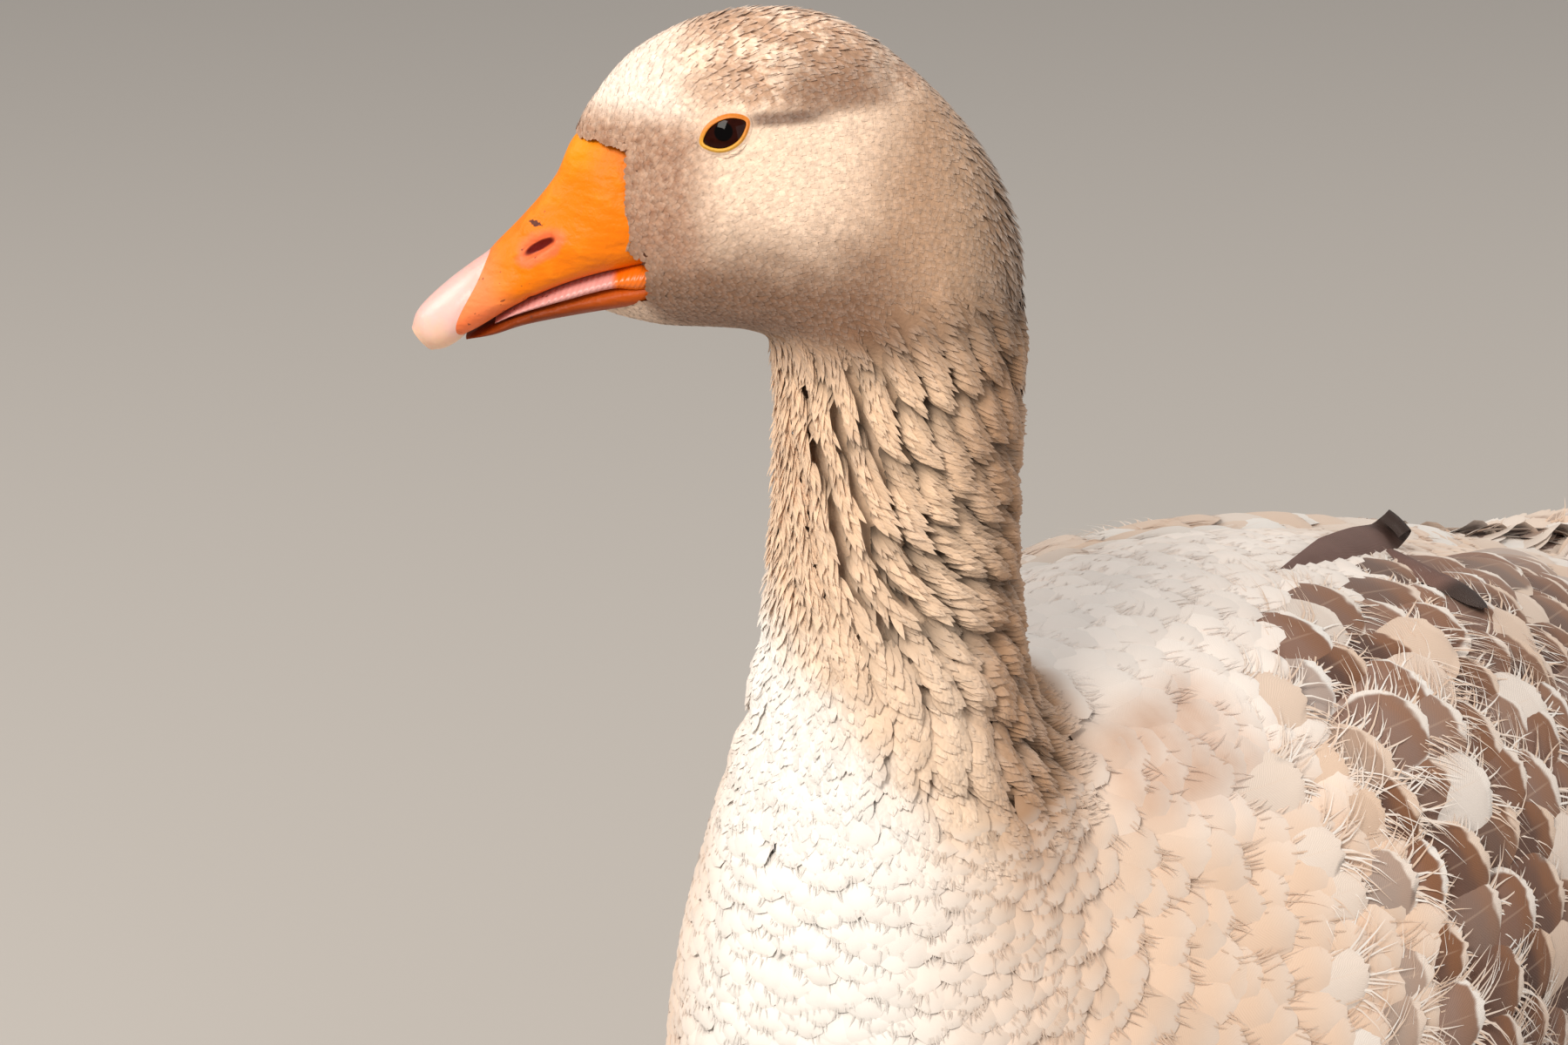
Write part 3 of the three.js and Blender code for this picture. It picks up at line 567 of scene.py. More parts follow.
# ---------------------------------------------------------------- colours
WHITE = (0.86, 0.82, 0.78)
CREAM = (0.73, 0.54, 0.41)
TAN = (0.80, 0.56, 0.38)
BROWN = (0.45, 0.265, 0.155)
CHEEK = (0.84, 0.63, 0.48)
CHEEK_BACK = (0.42, 0.26, 0.165)
FOREHEAD = (0.86, 0.71, 0.61)
LORES = (0.31, 0.155, 0.09)
CROWN = (0.17, 0.08, 0.042)
CROWN_BROWN = (0.50, 0.31, 0.205)
# Tan of the throat, darkened with painted shade under the cheek.
SHADED_THROAT_TAN = (0.20, 0.105, 0.06)
EYE_LINE = (0.09, 0.035, 0.018)
MANTLE = (0.93, 0.86, 0.81)
LOW_NECK = (0.76, 0.57, 0.42)
SHOULDER = (0.52, 0.31, 0.20)
DARK_MAUVE, PALE_MAUVE, WARM_EDGE = (0.075, 0.03, 0.018), (0.25, 0.135, 0.095), (0.24, 0.095, 0.035)
OLD_BROWN, OLD_MAUVE, OLD_TIP = (0.13, 0.065, 0.05), (0.20, 0.11, 0.09), (0.035, 0.018, 0.013)
BILL = {
    "side": (0.82, 0.185, 0.0), "ridge": (0.88, 0.30, 0.001), "patch": (0.92, 0.24, 0.004),
    "near_nail": (0.88, 0.24, 0.10), "edge": (0.74, 0.12, 0.03), "lower": (0.46, 0.075, 0.002),
    "under": (0.11, 0.015, 0.002), "nostril_rim": (0.86, 0.17, 0.07), "nostril": (0.12, 0.006, 0.004),
    "smudge": (0.10, 0.02, 0.008), "speck": (0.12, 0.03, 0.015),
}
NAIL_PINK, NAIL_TIP, GUM = (0.80, 0.50, 0.46), (0.84, 0.53, 0.36), (0.82, 0.42, 0.36)
MOUTH = {
    "pink": (0.66, 0.26, 0.24), "pale": (0.74, 0.40, 0.37), "speck": (0.10, 0.05, 0.04),
    "corner": (0.78, 0.15, 0.002),
}
IRIS_DARK, IRIS_BROWN = (0.010, 0.002, 0.0012), (0.028, 0.005, 0.0025)
PUPIL, EYE_RIM = (0.002, 0.0015, 0.0015), (0.02, 0.008, 0.006)
LID_ORANGE, LID_YELLOW = (0.66, 0.20, 0.015), (0.70, 0.36, 0.03)
# The third foot colour is painted shade for the grooves between the scales.
FOOT_ORANGE, FOOT_PALE, FOOT_CREASE_SHADE = (0.70, 0.22, 0.03), (0.78, 0.33, 0.08), (0.36, 0.10, 0.02)
CLAW_DARK, CLAW_PALE = (0.50, 0.40, 0.31), (0.72, 0.62, 0.52)
FLOOR, SKY = (0.52, 0.49, 0.46), (0.86, 0.84, 0.82)


# ---------------------------------------------------------------- materials of the goose
def head_markings(shader, colour, patches):
    """Pale cheek and forehead, mottled crown, greyer lores, a dark line behind the eye, and a tan throat
    darkened with painted shade under the cheek.
    """
    forward, above, _ = shader.head_places()
    fine = shader.noise(420, 3)
    drift = 12 * (patches - 0.5)
    cheek = (forward + 0.25 * above + drift).smooth(-6, 20)
    # Painted shade: the tan throat under the cheek is darkened as if in shadow.
    throat_shade = (above + drift).smooth(-10, -36) * forward.smooth(-10, 12)
    chin = (forward - 0.8 * (above + 40) + drift).smooth(62, 74) * above.smooth(-36, -44)
    forehead = forward.smooth(48, 62) * above.smooth(2, 12)
    lores = forward.smooth(42, 58) * above.smooth(-38, -22) * above.smooth(12, 2)
    brow_line = above + 0.06 * forward
    behind_brow = (forward - 0.5 * above + 2 * drift).smooth(62, 26)
    crown = brow_line.smooth(9, 16) * forward.smooth(-36, -8) * behind_brow
    mottle = (patches * 0.8 + fine * 0.5).smooth(0.62, 0.78)
    dusk = forward.smooth(-4, 6) * forward.smooth(36, 22)
    dusk = dusk * brow_line.smooth(9, 13) * above.smooth(28, 16)
    line = abs(above + 0.05 * forward - 10.4).smooth(2.6, 0.6)
    line = line * forward.smooth(14, 26) * forward.smooth(40, 36)
    return shader.layered(
        shader.scaled(colour, 1.0 - 0.5 * forward.smooth(6, -14)),
        (forward.smooth(-30, -6), CHEEK_BACK),
        (cheek, CHEEK),
        (throat_shade, SHADED_THROAT_TAN),
        (chin * 0.8, CHEEK),
        (forehead, FOREHEAD),
        (lores * (0.45 + 0.8 * fine), LORES),
        (crown, shader.blend(mottle, CROWN_BROWN, CHEEK)),
        (dusk * 0.7, CROWN),
        (line * 0.8, EYE_LINE),
    )


def plumage_colour(shader):
    """The markings that the skin and every coat share, from place alone."""
    forward = shader.along(FORWARD, HEAD_ORIGIN)
    height = shader.along((0, 0, 1))
    backward = shader.along((0, 1, 0), (0, HEAD_ORIGIN[1], 0))
    sideways = abs(shader.along((1, 0, 0)))
    patches = shader.noise(90, 3)
    broad = shader.noise(14, 3)
    turned = height.smooth(400, 480)
    low_shift = height.smooth(455, 415) * (14 + 0.4 * (sideways - 20))
    rearness = turned * -forward + (1 - turned) * (backward + 7 + low_shift)
    rear_colour = shader.blend(height.smooth(470, 400), TAN, LOW_NECK)
    colour = shader.blend(rearness.smooth(6, 27), rear_colour, BROWN)
    colour = shader.blend(patches.smooth(0.5, 0.75) * 0.35, colour, CREAM)
    from_axis = (sideways**2 + backward**2) ** 0.5
    off_neck = from_axis.smooth(43, 58) * height.smooth(425, 400)
    front = (height - 1.18 * forward - 26 * (patches - 0.5)).smooth(402, 366)
    whiteness = 1 - (1 - front) * (1 - off_neck)
    cream = (sideways + 0.25 * backward + 50 * (broad - 0.5)).smooth(8, 62)
    pale_back = backward.smooth(20, 70) * height.smooth(338, 372)
    shoulder = sideways.smooth(30, 44) * sideways.smooth(82, 64) * height.smooth(352, 364)
    shoulder = shoulder * backward.smooth(26, 46) * backward.smooth(100, 76)
    body = shader.layered(
        WHITE, (cream, CREAM), (pale_back * 0.85, MANTLE), (shoulder * (0.3 + 0.7 * patches), SHOULDER)
    )
    colour = shader.blend(whiteness, colour, body)
    return shader.blend(height.smooth(486, 506), colour, head_markings(shader, colour, patches))


def barbs(shader, count):
    """Fine ridges that run out and back from a feather's shaft."""
    along, across = shader.mark("along"), shader.mark("across")
    sweep = along * count - abs(across) * count * 0.3 + shader.mark("tone") * 7
    return ((sweep + shader.noise(300, 2) * 0.8) * tau).sine() * 0.5


def plumage(name, barb_count, tip_light, relief, contrast, tufts=0.0):
    """Soft feathers in the goose's own markings, each a little lighter or darker than the next, with painted
    shade on those that lie deep in the neck's furrows.
    """
    shader = Shader(name)
    along, tone, gap, large = (shader.mark(mark) for mark in ("along", "tone", "gap", "brown"))
    colour = plumage_colour(shader)
    colour = shader.blend(along.smooth(0.55, 1.0) * (tip_light + 0.26 * large), colour, WHITE)
    # The gap mark is painted shade: it darkens feathers that sink deep into the neck's furrows.
    shade = (1.0 + (contrast + 0.3 * large) * (tone - 0.5)) * (1 - 0.8 * gap)
    colour = shader.scaled(colour, shade)
    height = barbs(shader, barb_count)
    if tufts:
        height = height * 0.3 + shader.noise(560, 2) * tufts
        colour = shader.scaled(colour, 0.62 + 0.76 * shader.noise(700, 3))
    return shader.finish(colour, 0.85, height, relief, Specular_IOR_Level=0.25, Sheen_Weight=0.2)


def skin_plumage():
    shader = Shader("feathered_skin")
    colour = shader.scaled(plumage_colour(shader), 0.8 + 0.3 * shader.noise(300, 2))
    return shader.finish(colour, 0.9, shader.noise(900, 2), 0.3, Specular_IOR_Level=0.2)


LONG_BARBS = 45  # barbs drawn along a large feather


def vane_plumage(name):
    """Large feathers: a mauve-brown centre inside a narrow cream fringe, with a pale shaft."""
    shader = Shader(name)
    along, across, tone, brown = (shader.mark(mark) for mark in ("along", "across", "tone", "brown"))
    side = abs(across)
    wander = (shader.noise(120, 2) - 0.5) * 0.14
    centre = (along + wander).smooth(0.96, 0.89) * (side + wander).smooth(0.93, 0.78)
    centre = centre * (along + wander).smooth(0.1, 0.4)
    fringe = shader.scaled(shader.blend(tone, CREAM, WHITE), 0.78 + 0.2 * along)
    mauve = shader.blend(tone, DARK_MAUVE, PALE_MAUVE)
    mauve = shader.blend((along + wander).smooth(0.68, 0.86) * 0.75, mauve, WARM_EDGE)
    shaft = side.smooth(0.03, 0.01) * along.smooth(0.95, 0.8) * 0.15
    colour = shader.layered(fringe, ((brown * centre).smooth(0.05, 0.95), mauve), (shaft, CREAM))
    height = barbs(shader, LONG_BARBS)
    return shader.finish(colour, 0.75, height, 0.04, Specular_IOR_Level=0.3, Sheen_Weight=0.15)


def dark_plumage():
    """The dark purple-brown of an old long feather, with a near-black tip."""
    shader = Shader("dark_plumage")
    colour = shader.blend(shader.noise(90, 2), OLD_BROWN, OLD_MAUVE)
    colour = shader.blend(shader.mark("along").smooth(0.62, 0.8), colour, OLD_TIP)
    return shader.finish(colour, 0.6, barbs(shader, LONG_BARBS), 0.08)


def fringe_plumage():
    """Loose white barbs over the large feathers."""
    shader = Shader("loose_barbs")
    colour = shader.blend(shader.mark("tone"), CREAM, WHITE)
    return shader.finish(shader.scaled(colour, 0.95 + 0.12 * shader.mark("along")), 0.85)


def bill_skin(name, lower):
    """Waxy bill skin: yellow-orange on the ridge, deeper orange low down, pink-red near the nail, and painted
    shade darkening the lower bill towards its underside.
    """
    shader = Shader(name)
    forward, above, left = shader.head_places()
    patches = shader.noise(160, 4)
    fine = shader.noise(900, 3)
    if lower:
        # Painted shade: the lower bill's orange darkens to near black towards its underside.
        colour = shader.blend(above.smooth(-38, -47) * 0.7, BILL["lower"], BILL["under"])
    else:
        edge = (above + 0.42 * forward).smooth(1.2, -1.6) * forward.smooth(70, 84)
        run, rise = nostril_places(forward, above)
        rim = (((run / 8.5) ** 2 + (rise / 4.2) ** 2) + (patches - 0.5) * 1.2).smooth(1.0, 0.3)
        hole = ((run / 4.9) ** 2 + (rise / 1.35) ** 2).smooth(1.15, 0.5)
        smudge = ((forward - 93.2) / 1.6) ** 2 + ((above + 22.2) / 0.8) ** 2 + (fine - 0.5) * 4
        colour = shader.layered(
            BILL["side"],
            ((above + 0.98 * forward + 12 * (patches - 0.5)).smooth(68, 84), BILL["ridge"]),
            (patches.smooth(0.5, 0.7) * 0.5, BILL["patch"]),
            ((forward - 0.4 * above).smooth(112, 124) * 0.75, BILL["near_nail"]),
            (edge * 0.5, BILL["edge"]),
            (rim * 0.8, BILL["nostril_rim"]),
            # The nostril's slot is painted near black: painted shade inside its opening.
            (hole * abs(left).smooth(5, 7), BILL["nostril"]),
            (smudge.smooth(1.0, 0.4) * abs(left).smooth(4, 6), BILL["smudge"]),
        )
    specks = shader.noise(620, 1).smooth(0.72, 0.78) * forward.smooth(80, 96)
    colour = shader.blend(specks * 0.7, colour, BILL["speck"])
    height = fine * 0.35 + patches * 1.6 + shader.noise(70, 2, (1, 1, 3)) * 2.5 + shader.noise(2600, 2) * 0.1
    return shader.finish(colour, 0.4 + 0.16 * patches, height, 0.5, Specular_IOR_Level=0.2)


def nail_horn():
    """Smooth horn, pink at the gum and straw-coloured at the tip."""
    shader = Shader("nail_horn")
    forward, above, _ = shader.head_places()
    patches = shader.noise(200, 3)
    tip = (above + 8 * (patches - 0.5)).smooth(-46, -56)
    gum = (forward - 0.35 * above).smooth(126.5, 121.5)
    colour = shader.layered(NAIL_PINK, (tip, NAIL_TIP), (gum * 0.5, GUM))
    height = shader.noise(500, 3, (1, 1, 0.2)) + patches
    roughness = 0.26 + 0.15 * patches
    return shader.finish(colour, roughness, height, 0.15, Subsurface_Weight=0.2, Subsurface_Scale=0.004)


def tongue_skin():
    """The pink strip of small upright plates along the mouth."""
    shader = Shader("tongue_skin")
    forward, above, _ = shader.head_places()
    plates = ((forward + 0.5 * above) * (tau / 1.3)).sine()
    specks = shader.noise(900, 1).smooth(0.66, 0.72) * forward.smooth(84, 94)
    colour = shader.layered(
        shader.blend(shader.noise(300, 2), MOUTH["pink"], MOUTH["pale"]),
        (specks, MOUTH["speck"]),
        (forward.smooth(74.5, 72), MOUTH["corner"]),
    )
    return shader.finish(colour, 0.35, plates * 0.5, 0.1)


def eye_surface(name, centre, outward):
    """A wet eye: a black pupil in a very dark brown iris."""
    shader = Shader(name)
    places = {0: shader.position(), 1: tuple(centre)}
    away = shader.node("ShaderNodeVectorMath", {"operation": "SUBTRACT"}, places).outputs[0]
    share = shader.product(away, outward) / (BALL["radius"] * MM)
    iris = shader.blend(shader.noise(900, 3), IRIS_DARK, IRIS_BROWN)
    colour = shader.layered(iris, (share.smooth(0.968, 0.978), PUPIL), (share.smooth(0.89, 0.84), EYE_RIM))
    return shader.finish(colour, 0.05, Specular_IOR_Level=0.08)


def lid_skin():
    """The orange rim of the lids, yellower low in front, and the feathered skin round it."""
    shader = Shader("lid_skin")
    _, above, _ = shader.head_places()
    fine = shader.noise(1500, 3)
    colour = shader.blend(above.smooth(8, 1), LID_ORANGE, LID_YELLOW)
    colour = shader.scaled(colour, 0.75 + 0.4 * fine)
    outside = shader.mark("across").smooth(1.05, 1.25)
    colour = shader.blend(outside, colour, shader.scaled(plumage_colour(shader), 0.6 + 0.6 * fine))
    return shader.finish(colour, 0.45 + 0.4 * outside, fine, 0.2)


def foot_skin():
    """Scaly orange skin of shanks, toes and webs, with painted shade in the grooves between the scales."""
    shader = Shader("foot_skin")
    places = {"Vector": shader.position(), "Scale": 420.0, "Randomness": 0.75}
    scales = shader.number("ShaderNodeTexVoronoi", "Distance", {"feature": "DISTANCE_TO_EDGE"}, places)
    patches = shader.noise(60, 4)
    # Painted shade: the grooves between scales are darkened.
    crease_shade = scales.smooth(0.16, 0.02)
    colour = shader.blend(patches.smooth(0.35, 0.7), FOOT_ORANGE, FOOT_PALE)
    colour = shader.blend(crease_shade * 0.55, colour, FOOT_CREASE_SHADE)
    return shader.finish(colour, 0.5 + 0.2 * patches, scales.smooth(0.0, 0.25) + 0.2 * patches, 0.45)


def claw_horn():
    """Dull streaked horn."""
    shader = Shader("claw_horn")
    streaks = shader.noise(350, 3, (1, 1, 3))
    colour = shader.blend(streaks, CLAW_DARK, CLAW_PALE)
    return shader.finish(colour, 0.32 + 0.2 * streaks, streaks, 0.15)


# ---------------------------------------------------------------- meshes
def mesh_piece(name, points, faces, material, marks=None, places=None):
    """An object from points and four-sided faces, with numbers and map places kept on its points."""
    points, faces = np.asarray(points).reshape(-1, 3), np.asarray(faces)
    mesh = bpy.data.meshes.new(name)
    mesh.vertices.add(len(points))
    mesh.vertices.foreach_set("co", points.astype(np.float32).ravel())
    mesh.loops.add(faces.size)
    mesh.loops.foreach_set("vertex_index", faces.astype(np.int32).ravel())
    mesh.polygons.add(len(faces))
    mesh.polygons.foreach_set("loop_start", np.arange(0, faces.size, faces.shape[1], dtype=np.int32))
    mesh.update(calc_edges=True)
    mesh.polygons.foreach_set("use_smooth", np.ones(len(faces), bool))
    for mark, values in (marks or {}).items():
        kept = mesh.attributes.new(mark, "FLOAT", "POINT")
        kept.data.foreach_set("value", values.astype(np.float32).ravel())
    if places is not None:
        layer = mesh.uv_layers.new(name="OFBake")
        layer.data.foreach_set("uv", places[faces.ravel()].astype(np.float32).ravel())
    mesh.materials.append(material)
    piece = placed(name, mesh)
    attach(piece, "root")
    return piece


def placed(name, data):
    """A new object in the scene."""
    made = bpy.data.objects.new(name, data)
    bpy.context.collection.objects.link(made)
    return made


def grid_faces(rings, sides, closed=True):
    """Four-sided faces between neighbouring rings of points."""
    index = np.arange(rings * sides).reshape(rings, sides)
    if closed:
        index = np.concatenate([index, index[:, :1]], 1)
    corners = [index[:-1, :-1], index[:-1, 1:], index[1:, 1:], index[1:, :-1]]
    return np.stack(corners, -1).reshape(-1, 4)


class Coat:
    """Feathers that share a material, joined in one piece."""

    def __init__(self):
        self.points, self.faces, self.places = [], [], []
        # The gap mark holds painted shade for feathers that lie deep in the neck's furrows.
        self.marks = {"along": [], "across": [], "tone": [], "gap": [], "brown": []}
        self.count = 0

    def add(self, sheets, roots, tone, patch=0.003, gap=0.0, brown=0.0):
        """Sheets of points: feather, ring, column. Each is a small patch of the map at its root's place."""
        feathers, rings, columns = sheets.shape[:3]
        index = self.count + np.arange(feathers * rings * columns).reshape(feathers, rings, columns)
        corners = [index[:, :-1, :-1], index[:, 1:, :-1], index[:, 1:, 1:], index[:, :-1, 1:]]
        self.faces.append(np.stack(corners, -1).reshape(-1, 4))
        self.points.append(sheets.reshape(-1, 3))
        self.count += feathers * rings * columns
        along = np.linspace(0, 1, rings)[None, :, None] + np.zeros((feathers, 1, columns))
        across = np.linspace(-1, 1, columns)[None, None, :] + np.zeros((feathers, rings, 1))
        inside = np.stack([(across + 1) / 2, along], -1) * patch
        self.places.append((roots[:, None, None, :] + inside).reshape(-1, 2))
        full = np.ones((feathers, rings, columns))
        values = {
            "along": along,
            "across": across,
            "tone": full * np.reshape(tone, (-1, 1, 1)),
            "gap": full * (gap[:, :, None] if np.ndim(gap) == 2 else gap),
            "brown": full * np.reshape(brown, (-1, 1, 1)),
        }
        for name, value in values.items():
            self.marks[name].append(value.ravel())

    def build(self, name, material):
        points = np.concatenate(self.points)
        faces = np.concatenate(self.faces)
        marks = {mark: np.concatenate(values) for mark, values in self.marks.items()}
        return mesh_piece(name, points, faces, material, marks, np.concatenate(self.places))


def scatter(surface, gap, wanted, rng, tries=4):
    """Places about gap apart on a surface where wanted is true. gap is a field over the grid, in mm."""
    gap = np.broadcast_to(gap, surface.shape) * MM
    weight = np.where(wanted, surface.areas() / gap**2, 0)
    count = int(weight.sum() * tries)
    cells = rng.choice(weight.size, count, p=(weight / weight.sum()).ravel())
    ring, column = np.divmod(cells, surface.shape[1])
    along = (ring + rng.random(count)) / (surface.shape[0] - 1)
    side = (column + rng.random(count)) / surface.shape[1]
    points = surface.at(along, side)
    reach = surface.sample(gap, along, side)
    tree = tree_of(points)
    taken = bytearray(count)
    kept = []
    for i in range(count):
        if not taken[i]:
            kept.append(i)
            for _, j, _ in tree.find_range(points[i], reach[i]):
                taken[j] = 1
    along, side = along[kept], side[kept]
    order = np.argsort(-along)
    return along[order], side[order]


def rounded_outline(u):
    """Relative width of a feather with a broad round tip."""
    tip = np.clip((u - 0.6) / 0.42, 0, 1)
    return np.clip(0.35 + 1.6 * u, 0, 1) * np.sqrt(np.clip(1 - tip**2.2, 0, 1)) + 0.03


def blunt_outline(u):
    """Relative width of a tiny velvet feather."""
    return np.clip(0.6 + 1.6 * u, 0, 1) * np.clip(1.1 - u**4, 0, 1)


def pointed_outline(u):
    """Relative width of a narrow tuft that tapers to a point."""
    return np.clip(0.5 + 1.6 * u, 0, 1) * np.clip(1.04 - u**2.2, 0, 1)


def strap_outline(u):
    """Relative width of a long flight or tail feather."""
    tip = np.clip((u - 0.82) / 0.185, 0, 1)
    return np.clip(0.3 + 2.2 * u, 0, 1) * np.sqrt(np.clip(1 - tip**2, 0, 1)) + 0.02


def feather_sheets(path, width, lift, outline, columns, camber=0.25, fray=0.0, rng=None):
    """Points of feathers along their centre lines, each of which bellies by its camber.

    Widths, lifts and the fray of the tips are in mm; lift is per feather and ring."""
    point, normal, heading = path["point"], path["normal"], path["heading"]
    rings = point.shape[1]
    u = np.linspace(0, 1, rings)
    v = np.linspace(-1, 1, columns)
    sideways = np.cross(normal, heading)
    half = np.reshape(width, (-1, 1)) / 2 * outline(u)
    drop = np.reshape(camber, (-1, 1, 1)) * half[:, :, None] * (v**2 - 0.35)
    up = lift[:, :, None] - drop
    out = half[:, :, None] * v
    ahead = np.zeros_like(out)
    if rng is not None:
        ragged = rng.uniform(-1, 0.6, (len(point), 1, columns))
        ahead = ragged * np.reshape(fray, (-1, 1, 1)) * (u[None, :, None] ** 3)
    return (
        point[:, :, None]
        + MM * up[..., None] * normal[:, :, None]
        + MM * out[..., None] * sideways[:, :, None]
        + MM * ahead[..., None] * heading[:, :, None]
    )


STEEPEST = 0.12  # how steeply a feather may sink past the end of a rope


def ride_over(relief, step):
    """Heights of a feather's centre line, in mm: it climbs over ropes and stands out past their ends."""
    height = relief / MM
    for k in range(1, height.shape[1]):
        height[:, k] = np.maximum(height[:, k], height[:, k - 1] - STEEPEST * step / MM)
    return height


def lifts(path, root, tip, power=0.8):
    """Height of each ring over the surface: from root under it to tip, in mm."""
    rings = path["point"].shape[1]
    u = np.linspace(0, 1, rings) ** power
    rise = np.reshape(root, (-1, 1)) + (np.reshape(tip, (-1, 1)) - np.reshape(root, (-1, 1))) * u
    return rise + ride_over(path["relief"], path["step"])


# ---------------------------------------------------------------- skin
# How far the skin lies under the feather tips, in mm. At the bill it is tucked in further.
SKIN_DEPTH = {"body": 3.6, "neck": 6.4, "face": 0.4, "wing": 2.0, "bill": 5.0, "thigh": 3.5}
SKIN_VOXEL = 2.8


def coat_depth(body):
    """The skin's depth at each of the body's points, in mm."""
    on_head = smooth(body.place, 14.2, 16)
    neck = smooth(body.place, 9, 11)
    depth = mix(mix(SKIN_DEPTH["body"], SKIN_DEPTH["neck"], neck), SKIN_DEPTH["face"], on_head)
    depth = depth + SKIN_DEPTH["wing"] * smooth(body.pads, 1, 8)
    forward, above, left = head_places(body.points)
    tucked = smooth(forward - feather_edge(left, above), -2.0, 1.0) * (body.place > 16)
    return depth + SKIN_DEPTH["bill"] * tucked


def surface_object(points, name):
    """A closed tube of points as an object, with a fan of triangles over each end."""
    rings, sides = points.shape[:2]
    ends = np.stack([points[0].mean(0), points[-1].mean(0)])
    faces = grid_faces(rings, sides).tolist()
    last = rings * sides
    for j in range(sides):
        k = (j + 1) % sides
        faces.append((last, k, j))
        faces.append((last + 1, last - sides + j, last - sides + k))
    mesh = bpy.data.meshes.new(name)
    mesh.from_pydata(np.concatenate([points.reshape(-1, 3), ends]).tolist(), [], faces)
    return placed(name, mesh)


def make_smooth(piece, voxel, smoothing, material):
    """Gives a piece one fine smooth surface of a material, voxel in mm."""
    remesh = piece.modifiers.new("fine", "REMESH")
    remesh.mode = "VOXEL"
    remesh.voxel_size = voxel * MM
    soften = piece.modifiers.new("soften", "SMOOTH")
    soften.factor = 0.5
    soften.iterations = smoothing
    graph = bpy.context.evaluated_depsgraph_get()
    mesh = bpy.data.meshes.new_from_object(piece.evaluated_get(graph))
    piece.modifiers.clear()
    piece.data = mesh
    mesh.materials.clear()
    mesh.materials.append(material)
    mesh.shade_smooth()


def make_skin(body, thighs):
    """One skin for head, neck, trunk, wings, tail root and thighs, under the feathers by the coat's depth."""
    inner = body.points - body.normal * (coat_depth(body) * MM)[..., None]
    parts = [surface_object(inner[::2, ::2], "skin")]
    for thigh in thighs:
        parts.append(surface_object(thigh.points - thigh.normal * SKIN_DEPTH["thigh"] * MM, "thigh_skin"))
    bpy.ops.object.select_all(action="DESELECT")
    for part in parts:
        part.select_set(True)
    bpy.context.view_layer.objects.active = parts[0]
    bpy.ops.object.join()
    skin = parts[0]
    make_smooth(skin, SKIN_VOXEL, 2, skin_plumage())
    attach(skin, "root")
    flesh = ["head", "neck_upper", "neck_middle", "neck_lower", "trunk"]
    flesh += [f"{part}_{side}" for part in ("wing", "thigh") for side in ("left", "right")]
    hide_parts(*flesh)


# ---------------------------------------------------------------- feathers of the head and neck
def along_lids(forward, above):
    """Places along and across an eye's opening, in mm, for places in side view."""
    return tilted(forward - EYE["forward"], above - EYE["above"], LID["tilt"])


def eye_clear(points, ahead=0.0):
    """How far points, or places behind them, are out from the middle of an eye's opening, 1 at its lids."""
    forward, above, _ = head_places(points)
    run, rise = along_lids(forward - ahead, above)
    return np.hypot(run / (LID["long"] + LID["bare_ends"]), rise / (LID["high"] + LID["bare"]))


def ball_reach(centre, forward, above):
    """How far out an eyeball's surface is at places in side view, in mm."""
    apart = (forward - centre[0]) ** 2 + (above - centre[1]) ** 2
    return centre[2] + np.sqrt(np.clip(BALL["radius"] ** 2 - apart, 0, None))


def eye_bulge(body, points):
    """How far the eyeballs push the face out under points on it, in mm."""
    forward, above, left = head_places(points)
    bulge = 0 * forward
    for sign in (1, -1):
        centre, _ = ball_place(body, sign)
        near = np.hypot(forward - centre[0], above - centre[1]) < 7
        out = ball_reach(centre, forward, above) + 0.1 - np.abs(left)
        bulge = np.maximum(bulge, np.where(near & (left * sign > 0), out, 0))
    return bulge


def nape_share(forward, above):
    """0 on the face, 1 on the nape, part way over the crown."""
    crown = 0.4 * smooth(above + 0.2 * forward, 16, 30) * smooth(-forward, -70, -45)
    return np.maximum(crown, smooth(-forward + 0.35 * above, 4, 30))


# Feathers of the face and of the nape, in mm: how far apart, how long and wide, the tip over the surface and
# the root under it, and how strongly a feather is arched across.
FACE_FEATHER = {"gap": 0.86, "long": 3.2, "wide": 1.9, "tip": 0.05, "root": -0.2, "camber": 0.08}
NAPE_FEATHER = {"gap": 1.5, "long": 7.6, "wide": 3.2, "tip": 1.9, "root": -1.0, "camber": 0.35}


